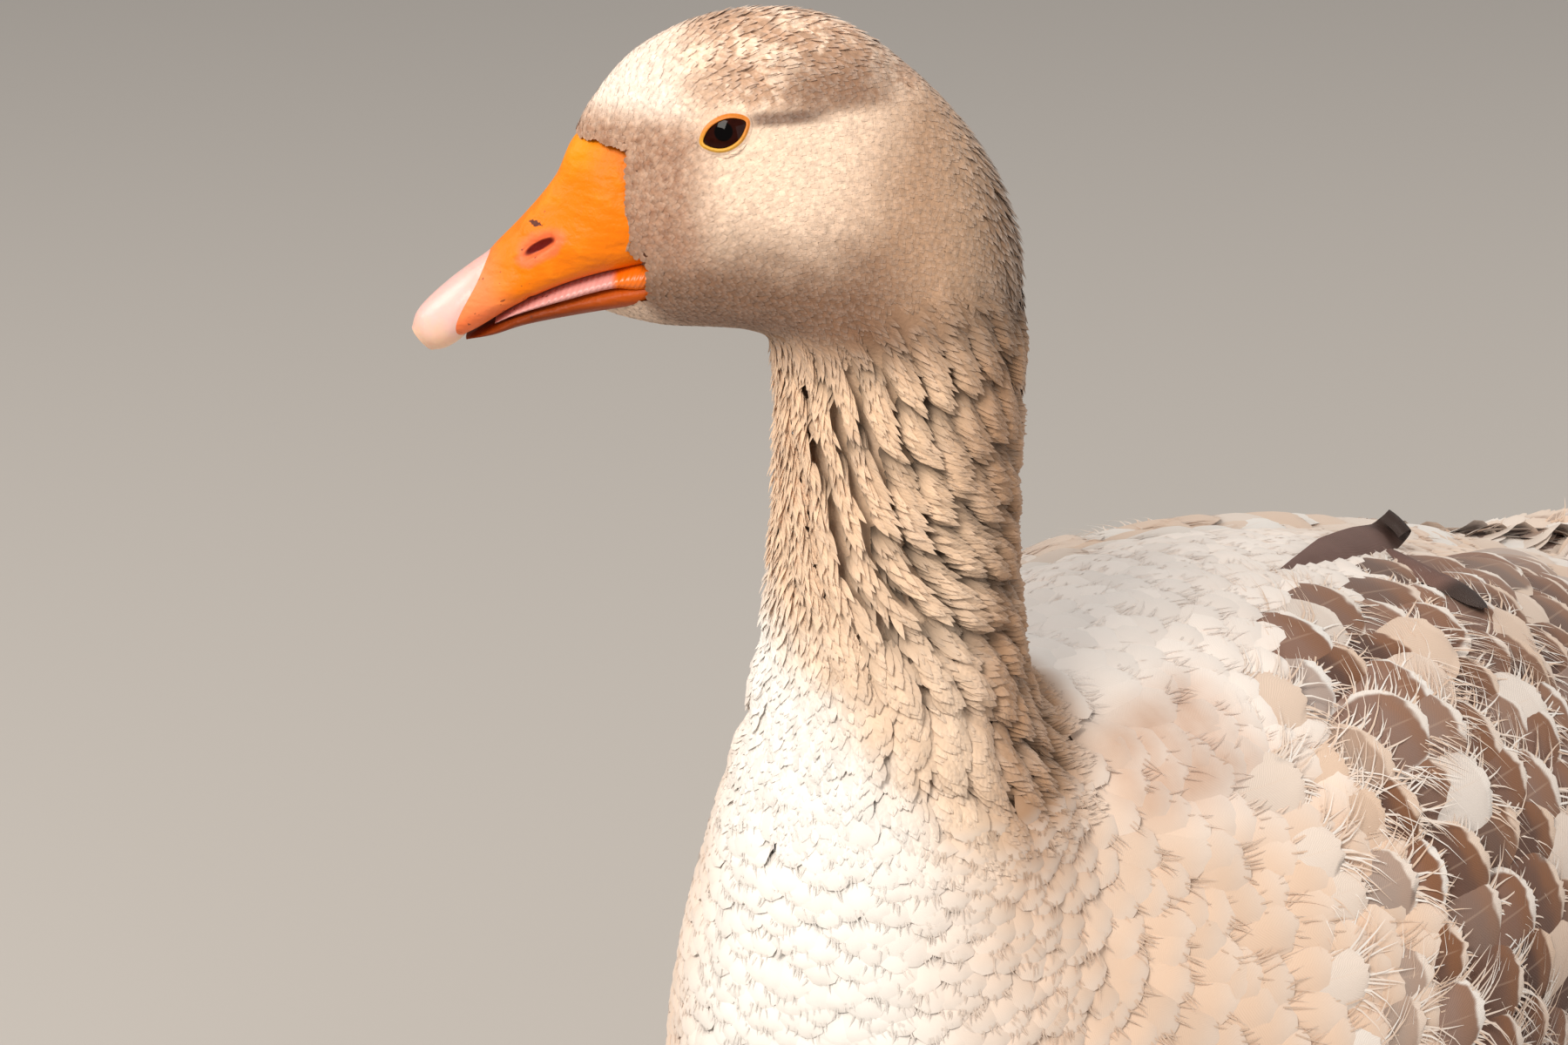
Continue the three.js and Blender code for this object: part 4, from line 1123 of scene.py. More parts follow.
def face_coat(body, rng):
    """Tiny velvet feathers on the face, growing to small pointed ones on the crown and nape."""
    forward, above, left = head_places(body.points)
    edge = feather_edge(left, above)
    on_head = (body.place > FACE_START) & (body.furrows < 0.45) & (forward < edge)
    gap = mix(FACE_FEATHER["gap"], NAPE_FEATHER["gap"], nape_share(forward, above))
    clear = np.min([eye_clear(body.points, ahead) for ahead in (0.0, 1.2, 2.4)], axis=0)
    along, side = scatter(body, gap, on_head & (clear > 1), rng)
    forward, above, left = head_places(body.at(along, side))
    nape = nape_share(forward, above)
    from_bill = smooth(feather_edge(left, above) - forward, 0, 7)
    count = len(along)
    size = {name: mix(FACE_FEATHER[name], NAPE_FEATHER[name], nape) for name in ("long", "wide", "camber")}
    length = size["long"] * rng.uniform(0.8, 1.2, count) * mix(0.7, 1, from_bill)
    width = size["wide"] * rng.uniform(0.85, 1.15, count)
    lie = rng.normal(0, 0.15, count) + 0.22 * smooth(-above, 10, 40) * smooth(-forward, -60, -30)
    path = body.walk(along, side, lie, length, 3)
    tip = mix(FACE_FEATHER["tip"], NAPE_FEATHER["tip"], nape**1.5) * rng.uniform(0.2, 1.8, count)
    root = mix(mix(-0.1, FACE_FEATHER["root"], from_bill), NAPE_FEATHER["root"], nape)
    rise = lifts(path, root, tip) + eye_bulge(body, path["point"])
    blunt = feather_sheets(path, width, rise, blunt_outline, 3, size["camber"])
    pointed = feather_sheets(path, width, rise, pointed_outline, 3, size["camber"])
    sheets = mix(blunt, pointed, smooth(nape, 0.1, 0.4)[:, None, None, None])
    tone = rng.random(count)
    places = body.map_place(along, side)
    front = along > np.quantile(along, 0.5)
    for name, part in (("face_feathers", front), ("nape_feathers", ~front)):
        coat = Coat()
        coat.add(sheets[part], places[part], tone[part], brown=nape[part])
        coat.build(name, plumage(name, 5, 0.08, 0.1, 0.16, 5.0))


FULL_LANES, SPARE_LANES = (0.04, 0.32, 0.6), (0.18, 0.46, 0.82)  # rows of feathers across each rope
NECK_LONG, NECK_WIDE = (6.2, 8.4), (2.0, 2.9)  # mm, least and most
SOFT_FOOT = 405, 440  # heights between which the ropes soften towards the breast, in front


def rope_places(body, rng):
    """Roots of the neck's feathers, in lanes along its ropes, and whether each is in a spare lane."""
    along, side, spare = [], [], []
    sides = np.arange(body.shape[1]) / body.shape[1]
    number = np.arange(0, RIDGES)
    for ring in np.nonzero(body.furrows.max(1) > 0.08)[0]:
        ropes = rope_phase(body.height[ring], sides)
        height = np.interp(number + 0.5, ropes, body.height[ring])
        _, width = lock_shape(height, number, body.locks)
        for lane in FULL_LANES + SPARE_LANES:
            share = ROPE_CREST + (lane - ROPE_CREST) * width
            place_left = np.interp(number + 1 - share, ropes, sides)
            place_right = np.interp(number + share, ropes, sides)
            place = np.where(place_left < 0.5, place_left, place_right)
            side.append(place + rng.normal(0, 0.0012, RIDGES))
            along.append((ring + rng.uniform(-0.6, 0.6, RIDGES)) / (body.shape[0] - 1))
            spare.append(np.full(RIDGES, lane in SPARE_LANES))
    middle = np.abs(sides - 0.5) < 0.035
    more_along, more_side = scatter(body, 1.9, (body.furrows > 0.1) & middle, rng)
    along, side = np.concatenate([*along, more_along]), np.concatenate([*side, more_side])
    return along, side, np.concatenate([*spare, np.zeros(len(more_along), bool)])


def neck_coat(body, rng):
    """Small pointed feathers that lie across the neck's ropes and stand out over the furrows behind."""
    along, side, spare = rope_places(body, rng)
    strong = body.sample(body.furrows, along, side)
    low_front = smooth(-body.sample(body.height, along, side), -SOFT_FOOT[1], -SOFT_FOOT[0])
    low_front = low_front * smooth(-np.cos(tau * side), -0.4, 0.4)
    kept = rng.random(len(along)) < smooth(strong, 0.02, 0.2) * np.where(spare, 0.8 * low_front, 0.92)
    order = np.argsort(-along[kept])
    along, side, low_front = (values[kept][order] for values in (along, side, low_front))
    count = len(along)
    length = rng.uniform(*NECK_LONG, count)
    width = rng.uniform(*NECK_WIDE, count)
    rear = smooth(np.cos(tau * side), -0.95, 0.1)
    lie = mix(0.12, 0.78, rear) + rng.normal(0, 1, count) * mix(0.2, 0.07, rear)
    path = body.walk(along, side, lie, length, 4)
    tip = rng.uniform(0.3, 1.0, count) * mix(mix(2.2, 1, rear), 0.8, low_front)
    rise = lifts(path, -0.9, tip)
    pointed = feather_sheets(path, width, rise, pointed_outline, 3, 0.5)
    blunt = feather_sheets(path, width * 1.6, rise, blunt_outline, 3, 0.5)
    sheets = mix(pointed, blunt, low_front[:, None, None, None])
    # Painted shade: feathers that sink deep into the furrows between the ropes are darkened, hardly at all
    # low in front.
    deep = np.clip(-(rise - 0.4) / 4.6, 0, 1) ** 1.2 * (1 - 0.95 * low_front[:, None])
    tone = rng.random(count)
    places = body.map_place(along, side)
    material = plumage("neck_plumage", 4, 0.10, 0.08, 0.2)
    for name, part in (("neck_feathers_left", side < 0.5), ("neck_feathers_right", side >= 0.5)):
        coat = Coat()
        coat.add(sheets[part], places[part], tone[part], gap=deep[part])
        coat.build(name, material)


# ---------------------------------------------------------------- feathers of the body
def between_rings(values, feather, u):
    """Values kept on feathers' rings, read at shares u along the given feathers."""
    spot = np.clip(u, 0, 1) * (values.shape[1] - 1)
    ring = np.minimum(spot.astype(int), values.shape[1] - 2)
    t = np.reshape(spot - ring, (-1,) + (1,) * (values.ndim - 2))
    return mix(values[feather, ring], values[feather, ring + 1], t)


# Loose barbs: how many a feather has, how thick they are in mm, how far they splay in degrees, how much they
# curl sideways and arch up, the share of them on the tip, and how far inside the edge they may start.
BARBS = {
    "soft": {"count": 22, "thick": 0.5, "splay": 20, "curl": 0.25, "arch": 0.1, "tip": 0.75, "inner": 0.5},
    "fringe": {"count": 44, "thick": 0.62, "splay": 40, "curl": 0.3, "arch": 0.5, "tip": 0.7, "inner": 0.2},
    "downy": {"count": 54, "thick": 0.7, "splay": 38, "curl": 0.8, "arch": 1.0, "tip": 0.6, "inner": 0.2},
    "tail": {"count": 30, "thick": 0.6, "splay": 35, "curl": 0.0, "arch": 0.4, "tip": 0.7, "inner": 0.2},
}


def loose_barbs(path, width, rise, kind, reach, rng):
    """Thin strips that leave rounded feathers at edges and tip, reach in mm, and each strip's feather."""
    look = BARBS[kind]
    feather = np.repeat(np.arange(len(width)), look["count"])
    count = len(feather)
    v = np.tile(np.linspace(-1, 1, look["count"]), len(width)) + rng.normal(0, 0.3 / look["count"], count)
    v = np.clip(v, -1, 1)
    table = np.linspace(0.55, 1, 60)
    edge = np.interp(-np.abs(v), -rounded_outline(table), table)
    on_side = rng.random(count) > look["tip"]
    u = np.where(on_side, rng.uniform(0.35, 0.8, count), edge) - rng.uniform(0.02, look["inner"], count)
    out_share = np.where(on_side, np.sign(v) * rng.uniform(0.6, 0.92, count), 0.86 * v)
    point, heading, normal = (
        between_rings(path[name], feather, u) for name in ("point", "heading", "normal")
    )
    sideways = unit(np.cross(normal, heading))
    out = width[feather] / 2 * out_share * np.where(on_side, rounded_outline(u), 1)
    height = between_rings(rise, feather, u)
    drop = 0.2 * np.abs(out) * np.abs(out_share)
    base = point + MM * (height - drop + 0.06)[:, None] * normal + MM * out[:, None] * sideways
    length = rng.uniform(0.75, 1.2, count) * np.broadcast_to(reach, len(width))[feather]
    spread = np.radians(look["splay"]) * (0.25 + 0.75 * np.abs(out_share))
    turn = np.sign(out_share) * spread + rng.normal(0, 0.07, count)
    direction = unit(np.cos(turn)[:, None] * heading + np.sin(turn)[:, None] * sideways)
    across = unit(np.cross(normal, direction))
    t = np.linspace(0, 1, 4 if look["curl"] else 3)
    bend = look["curl"] * rng.uniform(-0.3, 1.0, count) * np.sign(out_share)
    up = look["arch"] * rng.uniform(0.1, 1.0, count)[:, None] * np.sin(pi * 0.7 * t) - 0.35 * t
    centre = base[:, None] + MM * (length[:, None] * t)[..., None] * direction[:, None]
    centre = centre + MM * (length * bend)[:, None, None] * (t**2)[None, :, None] * across[:, None]
    centre = centre + MM * up[..., None] * normal[:, None]
    half_width = MM * look["thick"] / 2 * np.interp(t, [0, 0.5, 1], [1, 0.8, 0.12])
    edges = half_width[:, None] * np.array([-1.0, 1.0])
    return centre[:, :, None] + edges[None, ..., None] * across[:, None, None], feather


# Soft feathers, small ones on the breast, big ones on the shoulder and rump, in mm.
SOFT_SMALL = {"gap": 4.4, "long": 12, "wide": 10.5, "root": -2.6, "barbs": 3.6}
SOFT_BIG = {"gap": 7.4, "long": 26, "wide": 17.5, "root": -2.4, "barbs": 11.0}


def soft_coat(name, surface, wanted, rng, material, small=0.0):
    """Soft rounded feathers with frayed tips, lying flat like tiles."""
    place = getattr(surface, "place", 6 + 0 * surface.points[..., 0])
    big = smooth(-place, -10.4, -7.4) * (1 - small)
    gap = mix(SOFT_SMALL["gap"], SOFT_BIG["gap"], big) * np.ones(surface.shape)
    along, side = scatter(surface, gap, wanted, rng, 6)
    count = len(along)
    big = surface.sample(big, along, side)
    size = {part: mix(SOFT_SMALL[part], SOFT_BIG[part], big) for part in SOFT_SMALL}
    length = size["long"] * rng.uniform(0.85, 1.2, count)
    width = size["wide"] * rng.uniform(0.92, 1.15, count)
    path = surface.walk(along, side, rng.normal(0, 0.12, count), length, 5)
    rise = lifts(path, size["root"], 0.9)
    sunk = rise - rng.uniform(0.6, 1.4, count)[:, None] * (np.arange(6) == 5)
    sheets = feather_sheets(path, width, sunk, rounded_outline, 5, 0.22)
    tone = rng.random(count)
    roots = surface.map_place(along, side)
    coat = Coat()
    coat.add(sheets, roots, tone)
    barbs, feather = loose_barbs(path, width, rise, "soft", size["barbs"], rng)
    # The barbs' tones are raised a little: painted light against the shade they lie in between the feathers.
    coat.add(barbs, roots[feather], tone[feather] * 0.8 + 0.2)
    coat.build(name, plumage(material, 30, 0.35, 0.02, 0.12))


COARSE = 7  # every seventh of the body's points is enough to find the thighs' places in it


def thigh_wanted(thigh, tree, body):
    """Where a thigh's surface is outside the body."""
    flat, normals = body.points.reshape(-1, 3), body.normal.reshape(-1, 3)
    outside = np.zeros(thigh.shape, bool)
    for i, ring in enumerate(thigh.points):
        for j, point in enumerate(ring):
            _, near, _ = tree.find(point)
            outside[i, j] = dot(point - flat[near * COARSE], normals[near * COARSE]) > -4 * MM
    return outside


# ---------------------------------------------------------------- wings and tail
# A folded wing's edges: body rows, and degrees down from the back line at each.
LOWER_EDGE = ([0.8, 1.9, 2.7, 3.5, 4.3, 5.0, 5.9, 6.9, 7.4], [36, 62, 86, 98, 108, 112, 108, 96, 80])
UPPER_EDGE = ([0.8, 2.0, 3.5, 5.0, 6.2, 7.4], [9, 9, 10, 11, 15, 36])
COVERT_GAP = {"rows": 15.5, "row": 19}  # mm from row to row, and from feather to feather in a row


def wing_places(body, sign, rng):
    """Roots of the wing's large feathers: rows across it, each half a feather off the one before."""
    rings, sides = body.shape
    line = body.points[:, sides // 6] / MM
    run = np.concatenate([[0], np.cumsum(np.linalg.norm(np.diff(line, axis=0), axis=1))])
    place = body.place[:, 0]
    begin, end = np.interp([1.1, 7.35], place, run)
    along, side, share = [], [], []
    for row, length in enumerate(np.arange(end, begin, -COVERT_GAP["rows"])):
        ring = int(np.interp(length, run, np.arange(rings)))
        here = place[ring]
        low, high = np.interp(here, *UPPER_EDGE), np.interp(here, *LOWER_EDGE)
        first, last = int(low / 360 * sides), int(high / 360 * sides)
        arc = np.linalg.norm(np.diff(body.points[ring, first : last + 1], axis=0), axis=1) / MM
        arc = np.concatenate([[0], np.cumsum(arc)])
        count = max(2, int(round(arc[-1] / COVERT_GAP["row"])))
        spots = (np.arange(count) + (0.3 if row % 2 else 0.8)) / count * arc[-1]
        column = np.interp(spots, arc, np.arange(first, last + 1))
        along.append(np.full(count, ring / (rings - 1)) + rng.normal(0, 0.0016, count))
        side.append(column / sides + rng.normal(0, 0.003, count))
        share.append(spots / arc[-1])
    along, side, share = np.concatenate(along), np.concatenate(side), np.concatenate(share)
    return along, side if sign > 0 else 1 - side, share


# Coverts high and low on the wing and at its shoulder: length and width in mm.
HIGH_COVERT, LOW_COVERT, SHOULDER_COVERT = (50, 36), (38, 28), (34, 25)


def covert_coat(body, sign, side_name, rng):
    """Large round-tipped feathers, brown with cream fringes, biggest high up and towards the tail."""
    along, side, share = wing_places(body, sign, rng)
    place = along * LAST_ROW
    count = len(along)
    front = smooth(place, 6.0, 7.3)
    length, width = (
        mix(mix(high, low, share), shoulder, front)
        for high, low, shoulder in zip(HIGH_COVERT, LOW_COVERT, SHOULDER_COVERT)
    )
    length = length * rng.uniform(0.92, 1.1, count)
    width = width * rng.uniform(0.92, 1.08, count)
    lie = rng.normal(0, 0.08, count) + mix(-0.10, 0.12, share)
    path = body.walk(along, side, lie, length, 12)
    rise = lifts(path, -4.2, rng.uniform(0.6, 2.2, count), 1.0)
    sheets = feather_sheets(path, width, rise, rounded_outline, 11, 0.24, 1.2, rng)
    low_share = smooth(share, 0.1, 0.6)
    behind_shoulder = smooth(-place, -mix(6.9, 7.3, low_share), -mix(6.5, 6.8, low_share))
    brown = behind_shoulder * rng.uniform(0.75, 1.0, count)
    brown *= 1 - 0.9 * smooth(-place, -3.9, -3.2) * smooth(-share, -0.45, -0.25)
    if sign < 0:
        brown *= smooth(share, 0.25, 0.45)
    pale = mix(0.06, 0.22, smooth(place, 5.4, 6.2))
    brown *= np.where(rng.random(count) < pale, 0.25, 1)
    tone = rng.random(count)
    roots = body.map_place(along, side)
    coat = Coat()
    coat.add(sheets, roots, tone, 0.014, brown=brown)
    coat.build(f"coverts_{side_name}", vane_plumage("vane_plumage"))

    fringe = Coat()
    barbs, feather = loose_barbs(path, width, rise, "fringe", 5.2, rng)
    fringe.add(barbs, roots[feather], rng.random(len(feather)))
    downy = np.nonzero((place > 4.8) & (rng.random(count) < 0.7))[0]
    part = {name: values[downy] for name, values in path.items()}
    barbs, feather = loose_barbs(part, width[downy], rise[downy], "downy", 15.0, rng)
    fringe.add(barbs, roots[downy][feather], rng.random(len(feather)))
    fringe.build(f"loose_barbs_{side_name}", fringe_plumage())


def pad_places(pad, along, across, sign):
    """Places on the body's surface for shares along a wing pad from tip to shoulder and down across it."""
    upper, lower, _ = np.moveaxis(row_at(pad["rows"], along), -1, 0)
    side = mix(upper, lower, across) / 360
    return mix(pad["tip"], pad["shoulder"], along) / LAST_ROW, side if sign > 0 else 1 - side


FLIGHT_FEATHERS = (
    # count, then first and last: share along the pad, share across it, length, width, lie
    (11, (0.62, 0.2), (0.93, 0.72), (78, 100), (24, 24), (0.16, 0.3)),
    (5, (0.34, 0.12), (0.55, 0.3), (118, 96), (19, 19), (0.1, 0.1)),
    (5, (0.5, 0.26), (0.3, 0.08), (96, 84), (30, 30), (-0.05, -0.05)),
)


def flight_coat(body, sign, name, rng):
    """Secondaries along the folded wing's lower edge, primaries past the rump and long tertials above."""
    pad_along, pad_across, lengths, widths, lie = (
        np.concatenate([np.linspace(*row[k], row[0]) for row in FLIGHT_FEATHERS]) for k in range(1, 6)
    )
    along, side = pad_places(FLIGHT_PAD, pad_along, pad_across, sign)
    path = body.walk(along, side, lie, lengths, 18)
    rise = lifts(path, -3.0, 1.6, 1.0)
    sheets = feather_sheets(path, widths, rise, strap_outline, 9, 0.16, 1.2, rng)
    brown = rng.uniform(0.75, 1.0, len(along))
    if sign < 0:
        brown[-5:] *= 0.1
    coat = Coat()
    coat.add(sheets, body.map_place(along, side), rng.random(len(along)), 0.02, brown=brown)
    coat.build(name, vane_plumage("flight_plumage"))


# The curled feather's ends in mm, where along it the curl begins, its turn in radians and its half width.
CURL = {"start": (22.0, -36, 378), "end": (9.0, 58, 359.5), "begins": 0.74, "turns": 4.6, "wide": 6.6}
CURL_FACING = (0.5, -0.45, 0.75)
# The curved feather's root as a body row and degrees round, and its lie in radians, length and width in mm.
CURVED = {"row": 4.15, "degrees": 9, "lie": -2.15, "long": 52.2, "wide": 11.0}


def curled_feather():
    """A dark long feather along the back whose end has rolled up."""
    u = np.linspace(0, 1, 44)
    start, end = np.array(CURL["start"]), np.array(CURL["end"])
    ahead = unit(end - start)
    facing = unit(np.array(CURL_FACING))
    facing = unit(facing - dot(facing, ahead) * ahead)
    across = np.cross(facing, ahead)
    straight = np.clip(u / CURL["begins"], 0, 1)
    rolled = np.clip((u - CURL["begins"]) / (1 - CURL["begins"]), 0, 1)
    roll = rolled * CURL["turns"]
    radius = mix(4.2, 2.4, rolled)
    centre = mix(start, end, straight[:, None]) + facing * (3 * np.sin(pi * straight))[:, None]
    centre = centre + ahead * (radius * np.sin(roll))[:, None]
    centre = centre + facing * (radius * (1 - np.cos(roll)))[:, None]
    v = np.linspace(-1, 1, 11)
    half = CURL["wide"] * np.clip(0.3 + 2.0 * u, 0, 1) * mix(1, 0.6, np.clip((u - 0.6) / 0.4, 0, 1))
    flat = 1 - 0.7 * np.clip(roll, 0, 1)
    sheet = centre[:, None] + (half[:, None] * v)[..., None] * across
    sheet = sheet - ((0.3 * half * flat)[:, None] * v**2)[..., None] * facing
    coat = Coat()
    coat.add(sheet[None] * MM, np.array([[0.70, 0.02]]), np.array([0.4]), 0.02, brown=np.array([1.0]))
    coat.build("curled_tertial", dark_plumage())


def curved_feather(body):
    """A second dark long feather that bends round over the near wing."""
    along, side = np.array([CURVED["row"] / LAST_ROW]), np.array([CURVED["degrees"] / 360])
    path = body.walk(along, side, np.array([CURVED["lie"]]), np.array([CURVED["long"]]), 18)
    rise = lifts(path, 2.5, 4.5, 1.0)
    sheets = feather_sheets(path, np.array([CURVED["wide"]]), rise, strap_outline, 9, 0.6)
    coat = Coat()
    coat.add(sheets, np.array([[0.73, 0.02]]), np.array([0.6]), 0.02, brown=np.array([1.0]))
    coat.build("curved_tertial", dark_plumage())


TAIL_ROOT = np.array([0, 150 + SHIFT, 290]) * MM
TAIL_REACH = 186  # mm from the root, where the fan has sunk by its whole droop
TAIL_SPREAD = 19  # degrees from the middle line to the outermost tail feather


def fan(angles, start, reach, height, droop, rings):
    """Centre lines of feathers that fan out from the tail's root, angles in degrees to the left."""
    turn = np.radians(angles)
    share = angles / (TAIL_SPREAD + 2)
    run = mix(start, reach[:, None], np.linspace(0, 1, rings))
    drop = droop * share[:, None] ** 2 * (run / TAIL_REACH) ** 2
    point = TAIL_ROOT + MM * np.stack(
        [np.sin(turn)[:, None] * run, np.cos(turn)[:, None] * run, height[:, None] - drop + 0.009 * run], -1
    )
    heading = unit(np.gradient(point, axis=1))
    upward = np.stack([0.22 * share, 0 * share, 1 + 0 * share], -1)[:, None] + 0 * point
    normal = unit(upward - dot(upward, heading)[..., None] * heading)
    return {"point": point, "normal": normal, "heading": heading, "relief": np.zeros(point.shape[:2])}


TAIL_COVERTS = [
    # reach, start, width, count, height over or under the fan
    (150, 40, 24, 13, 8),
    (128, 30, 23, 12, 10),
    (106, 20, 22, 11, 12),
    (148, 40, 25, 12, -4),
    (124, 26, 24, 11, -8),
]


def tail_places(angles, spread, down):
    """Map places for tail feathers: side by side by angle, rows one below the other."""
    return np.stack([0.75 + 0.22 * (angles + spread) / (2 * spread), np.full(len(angles), down)], -1)


def tail_coat(rng):
    """Sixteen tail feathers in a fan, white with brown marks, under and over rows of white coverts."""
    coat = Coat()
    angles = np.linspace(-TAIL_SPREAD, TAIL_SPREAD, 16)
    share = np.abs(angles) / TAIL_SPREAD
    path = fan(angles, 70, 183 - 13 * share**2, 5 - 5.5 * share, 7, 16)
    sheets = feather_sheets(path, np.full(16, 23.0), np.zeros((16, 16)), strap_outline, 9, 0.12, 2.0, rng)
    place = tail_places(angles, TAIL_SPREAD, 0.03)
    coat.add(sheets, place, rng.random(16), 0.02, brown=rng.uniform(0.2, 0.6, 16))
    for row, (reach, start, width, count, above) in enumerate(TAIL_COVERTS):
        angles = np.linspace(-TAIL_SPREAD, TAIL_SPREAD, count) + rng.normal(0, 0.6, count)
        share = np.abs(angles) / TAIL_SPREAD
        tips = reach * rng.uniform(0.95, 1.04, count)
        path = fan(angles, start, tips, above * (1 - 0.5 * share**2), 7, 12)
        if above < 0:
            path["normal"] = -path["normal"]
        lift = np.linspace(-1.5, 1.0, 12)[None, :] + np.zeros((count, 1))
        widths = np.full(count, float(width))
        sheets = feather_sheets(path, widths, lift, rounded_outline, 9, 0.2, 1.0, rng)
        place = tail_places(angles, TAIL_SPREAD + 2, 0.08 + 0.04 * row)
        coat.add(sheets, place, rng.random(count), 0.02, brown=0.0)
        barbs, feather = loose_barbs(path, widths, lift, "tail", 5.0, rng)
        coat.add(barbs, place[feather], rng.random(len(feather)), 0.003, brown=0.0)
    piece = coat.build("tail_fan", vane_plumage("tail_plumage"))
    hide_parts("tail")


# ---------------------------------------------------------------- bill
NOSTRIL = {"forward": 92.0, "below": 27.4, "slope": radians(32), "depth": 2.2}
# Where the nail begins: forward on the middle line, and how much further out to the sides and low down.
NAIL = {"edge": 105.5, "curve": 0.045, "low": 5.6}


def bill_grid(rows, along, angle):
    """Points of a bill form, in the scene, at shares along it and angles round it."""
    return to_scene(slice_points(row_at(head_rows(rows), along), angle))


def nail_boundary(angle):
    """Share along the upper bill where the nail begins, for each angle round it."""
    low, high = np.full(len(angle), 0.3), np.full(len(angle), 0.98)
    for _ in range(24):
        middle = (low + high) / 2
        forward, above, left = head_places(bill_grid(UPPER_BILL, middle, angle))
        edge = NAIL["edge"] + NAIL["curve"] * left**2 + NAIL["low"] * smooth(-above, 36, 56)
        beyond = forward > edge
        high, low = np.where(beyond, middle, high), np.where(beyond, low, middle)
    return low


def nostril_places(forward, above):
    """Places along and across the slot of a nostril, in mm."""
    return tilted(forward - NOSTRIL["forward"], above + NOSTRIL["below"], NOSTRIL["slope"])


def bill_relief(points):
    """Hollows of the nostrils, the folds round them and the rise of the ridge, in mm outward."""
    forward, above, left = head_places(points)
    run, rise = nostril_places(forward, above)
    outer = smooth(np.abs(left), 4.5, 7)
    hole = np.exp(-((run / 4.4) ** 4 + (rise / 1.1) ** 4)) * outer
    rim = np.exp(-((np.hypot(run / 6.0, rise / 2.4) - 1) / 0.35) ** 2) * outer
    fold = np.exp(-(((forward - 97 - 0.35 * (above + 36)) / 1.1) ** 2)) * smooth(-above, 24, 30) * outer
    swell = np.exp(-(((forward - 84) / 9) ** 2 + ((above + 22) / 7) ** 2)) * outer
    return -NOSTRIL["depth"] * hole + 0.35 * rim - 0.3 * fold + 0.5 * swell


def pushed(points, amount):
    """A grid of points moved outward, amounts in mm."""
    around = np.roll(points, -1, 1) - np.roll(points, 1, 1)
    ahead = np.gradient(points, axis=0)
    normal = unit(np.cross(ahead, around))
    if dot(normal, points - points.mean(1, keepdims=True)).mean() < 0:
        normal = -normal
    return points + normal * (amount * MM)[..., None]


def closed_end(points, share=0.6, rings=3):
    """A grid with a few shrinking rings added at its last end, so that it ends in a soft tip."""
    middle = points[-1].mean(0)
    extra = [mix(points[-1], middle, share + (1 - share) * k / rings)[None] for k in range(1, rings + 1)]
    return np.concatenate([points, *extra])


def make_bill():
    """The upper bill up to its nail, the nail, the lower bill and the mouth plates between them."""
    angle = np.arange(96) / 96 * tau
    edge = nail_boundary(angle)
    share = np.linspace(0, 1, 90)[:, None]
    upper = bill_grid(UPPER_BILL, share * edge, angle + 0 * share)
    groove = np.exp(-(((1 - share) * 22) ** 2))
    upper = pushed(upper, bill_relief(upper) - 0.3 * groove)
    skin = bill_skin("upper_bill_skin", False)
    piece = mesh_piece("upper_bill", upper, grid_faces(*upper.shape[:2]), skin)
    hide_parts("bill_upper")

    share = np.linspace(0, 1, 34)[:, None]
    nail = bill_grid(UPPER_BILL, edge + (1 - edge) * share, angle + 0 * share)
    rounding = 0.55 * np.sin(pi * np.clip(share * 1.1, 0, 1)) - 0.3 * np.exp(-((share * 12) ** 2))
    nail = closed_end(pushed(nail, rounding + np.zeros(nail.shape[:2])), 0.35, 4)
    piece = mesh_piece("nail", nail, grid_faces(*nail.shape[:2]), nail_horn())
    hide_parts("bill_nail")

    for name, node, rows, material, slot in (
        ("lower_bill", "bill_lower", LOWER_BILL, bill_skin("lower_bill_skin", True), "bill_horn"),
        ("mouth_plates", "tongue", TONGUE, tongue_skin(), "tongue_skin"),
    ):
        along = np.linspace(0, 1, 60)[:, None]
        grid = closed_end(bill_grid(rows, along + 0 * angle, angle + 0 * along), 0.4, 3)
        piece = mesh_piece(name, grid, grid_faces(*grid.shape[:2]), material)
        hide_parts(node)


# ---------------------------------------------------------------- eyes
# The lids' opening and outline, half lengths and heights in mm, the skin that stays bare round the opening,
# and the eyeball behind it.
LID = {
    "long": 5.3, "high": 3.1, "tilt": radians(27),
    "outer_long": 8.6, "outer_high": 6.9, "bare_ends": 1.5, "bare": 1.2,
}
BALL = {"radius": 10.5, "proud": 1.9}


def face_reach(body, forward, above, sign):
    """How far out from the middle plane the face is at places in side view, in mm."""
    ahead, high, left = head_places(body.points[::2, ::2])
    near = (np.abs(ahead - EYE["forward"]) < 16) & (np.abs(high - EYE["above"]) < 16) & (left * sign > 0)
    ahead, high, left = ahead[near], high[near], np.abs(left[near])
    apart = (forward[..., None] - ahead) ** 2 + (above[..., None] - high) ** 2
    weight = np.exp(-apart / 1.5)
    return (weight * left).sum(-1) / weight.sum(-1)


def ball_place(body, sign):
    """The eyeball's centre and the way it looks out, as forward, above and left."""
    step = 6.0
    forward = EYE["forward"] + np.array([0, step, -step, 0, 0])
    above = EYE["above"] + np.array([0, 0, 0, step, -step])
    face, ahead, behind, over, under = face_reach(body, forward, above, sign)
    outward = unit(np.array([(behind - ahead) / (2 * step), (under - over) / (2 * step), 1.0]))
    centre = np.array([EYE["forward"], EYE["above"], face]) + outward * (BALL["proud"] - BALL["radius"])
    return centre, outward


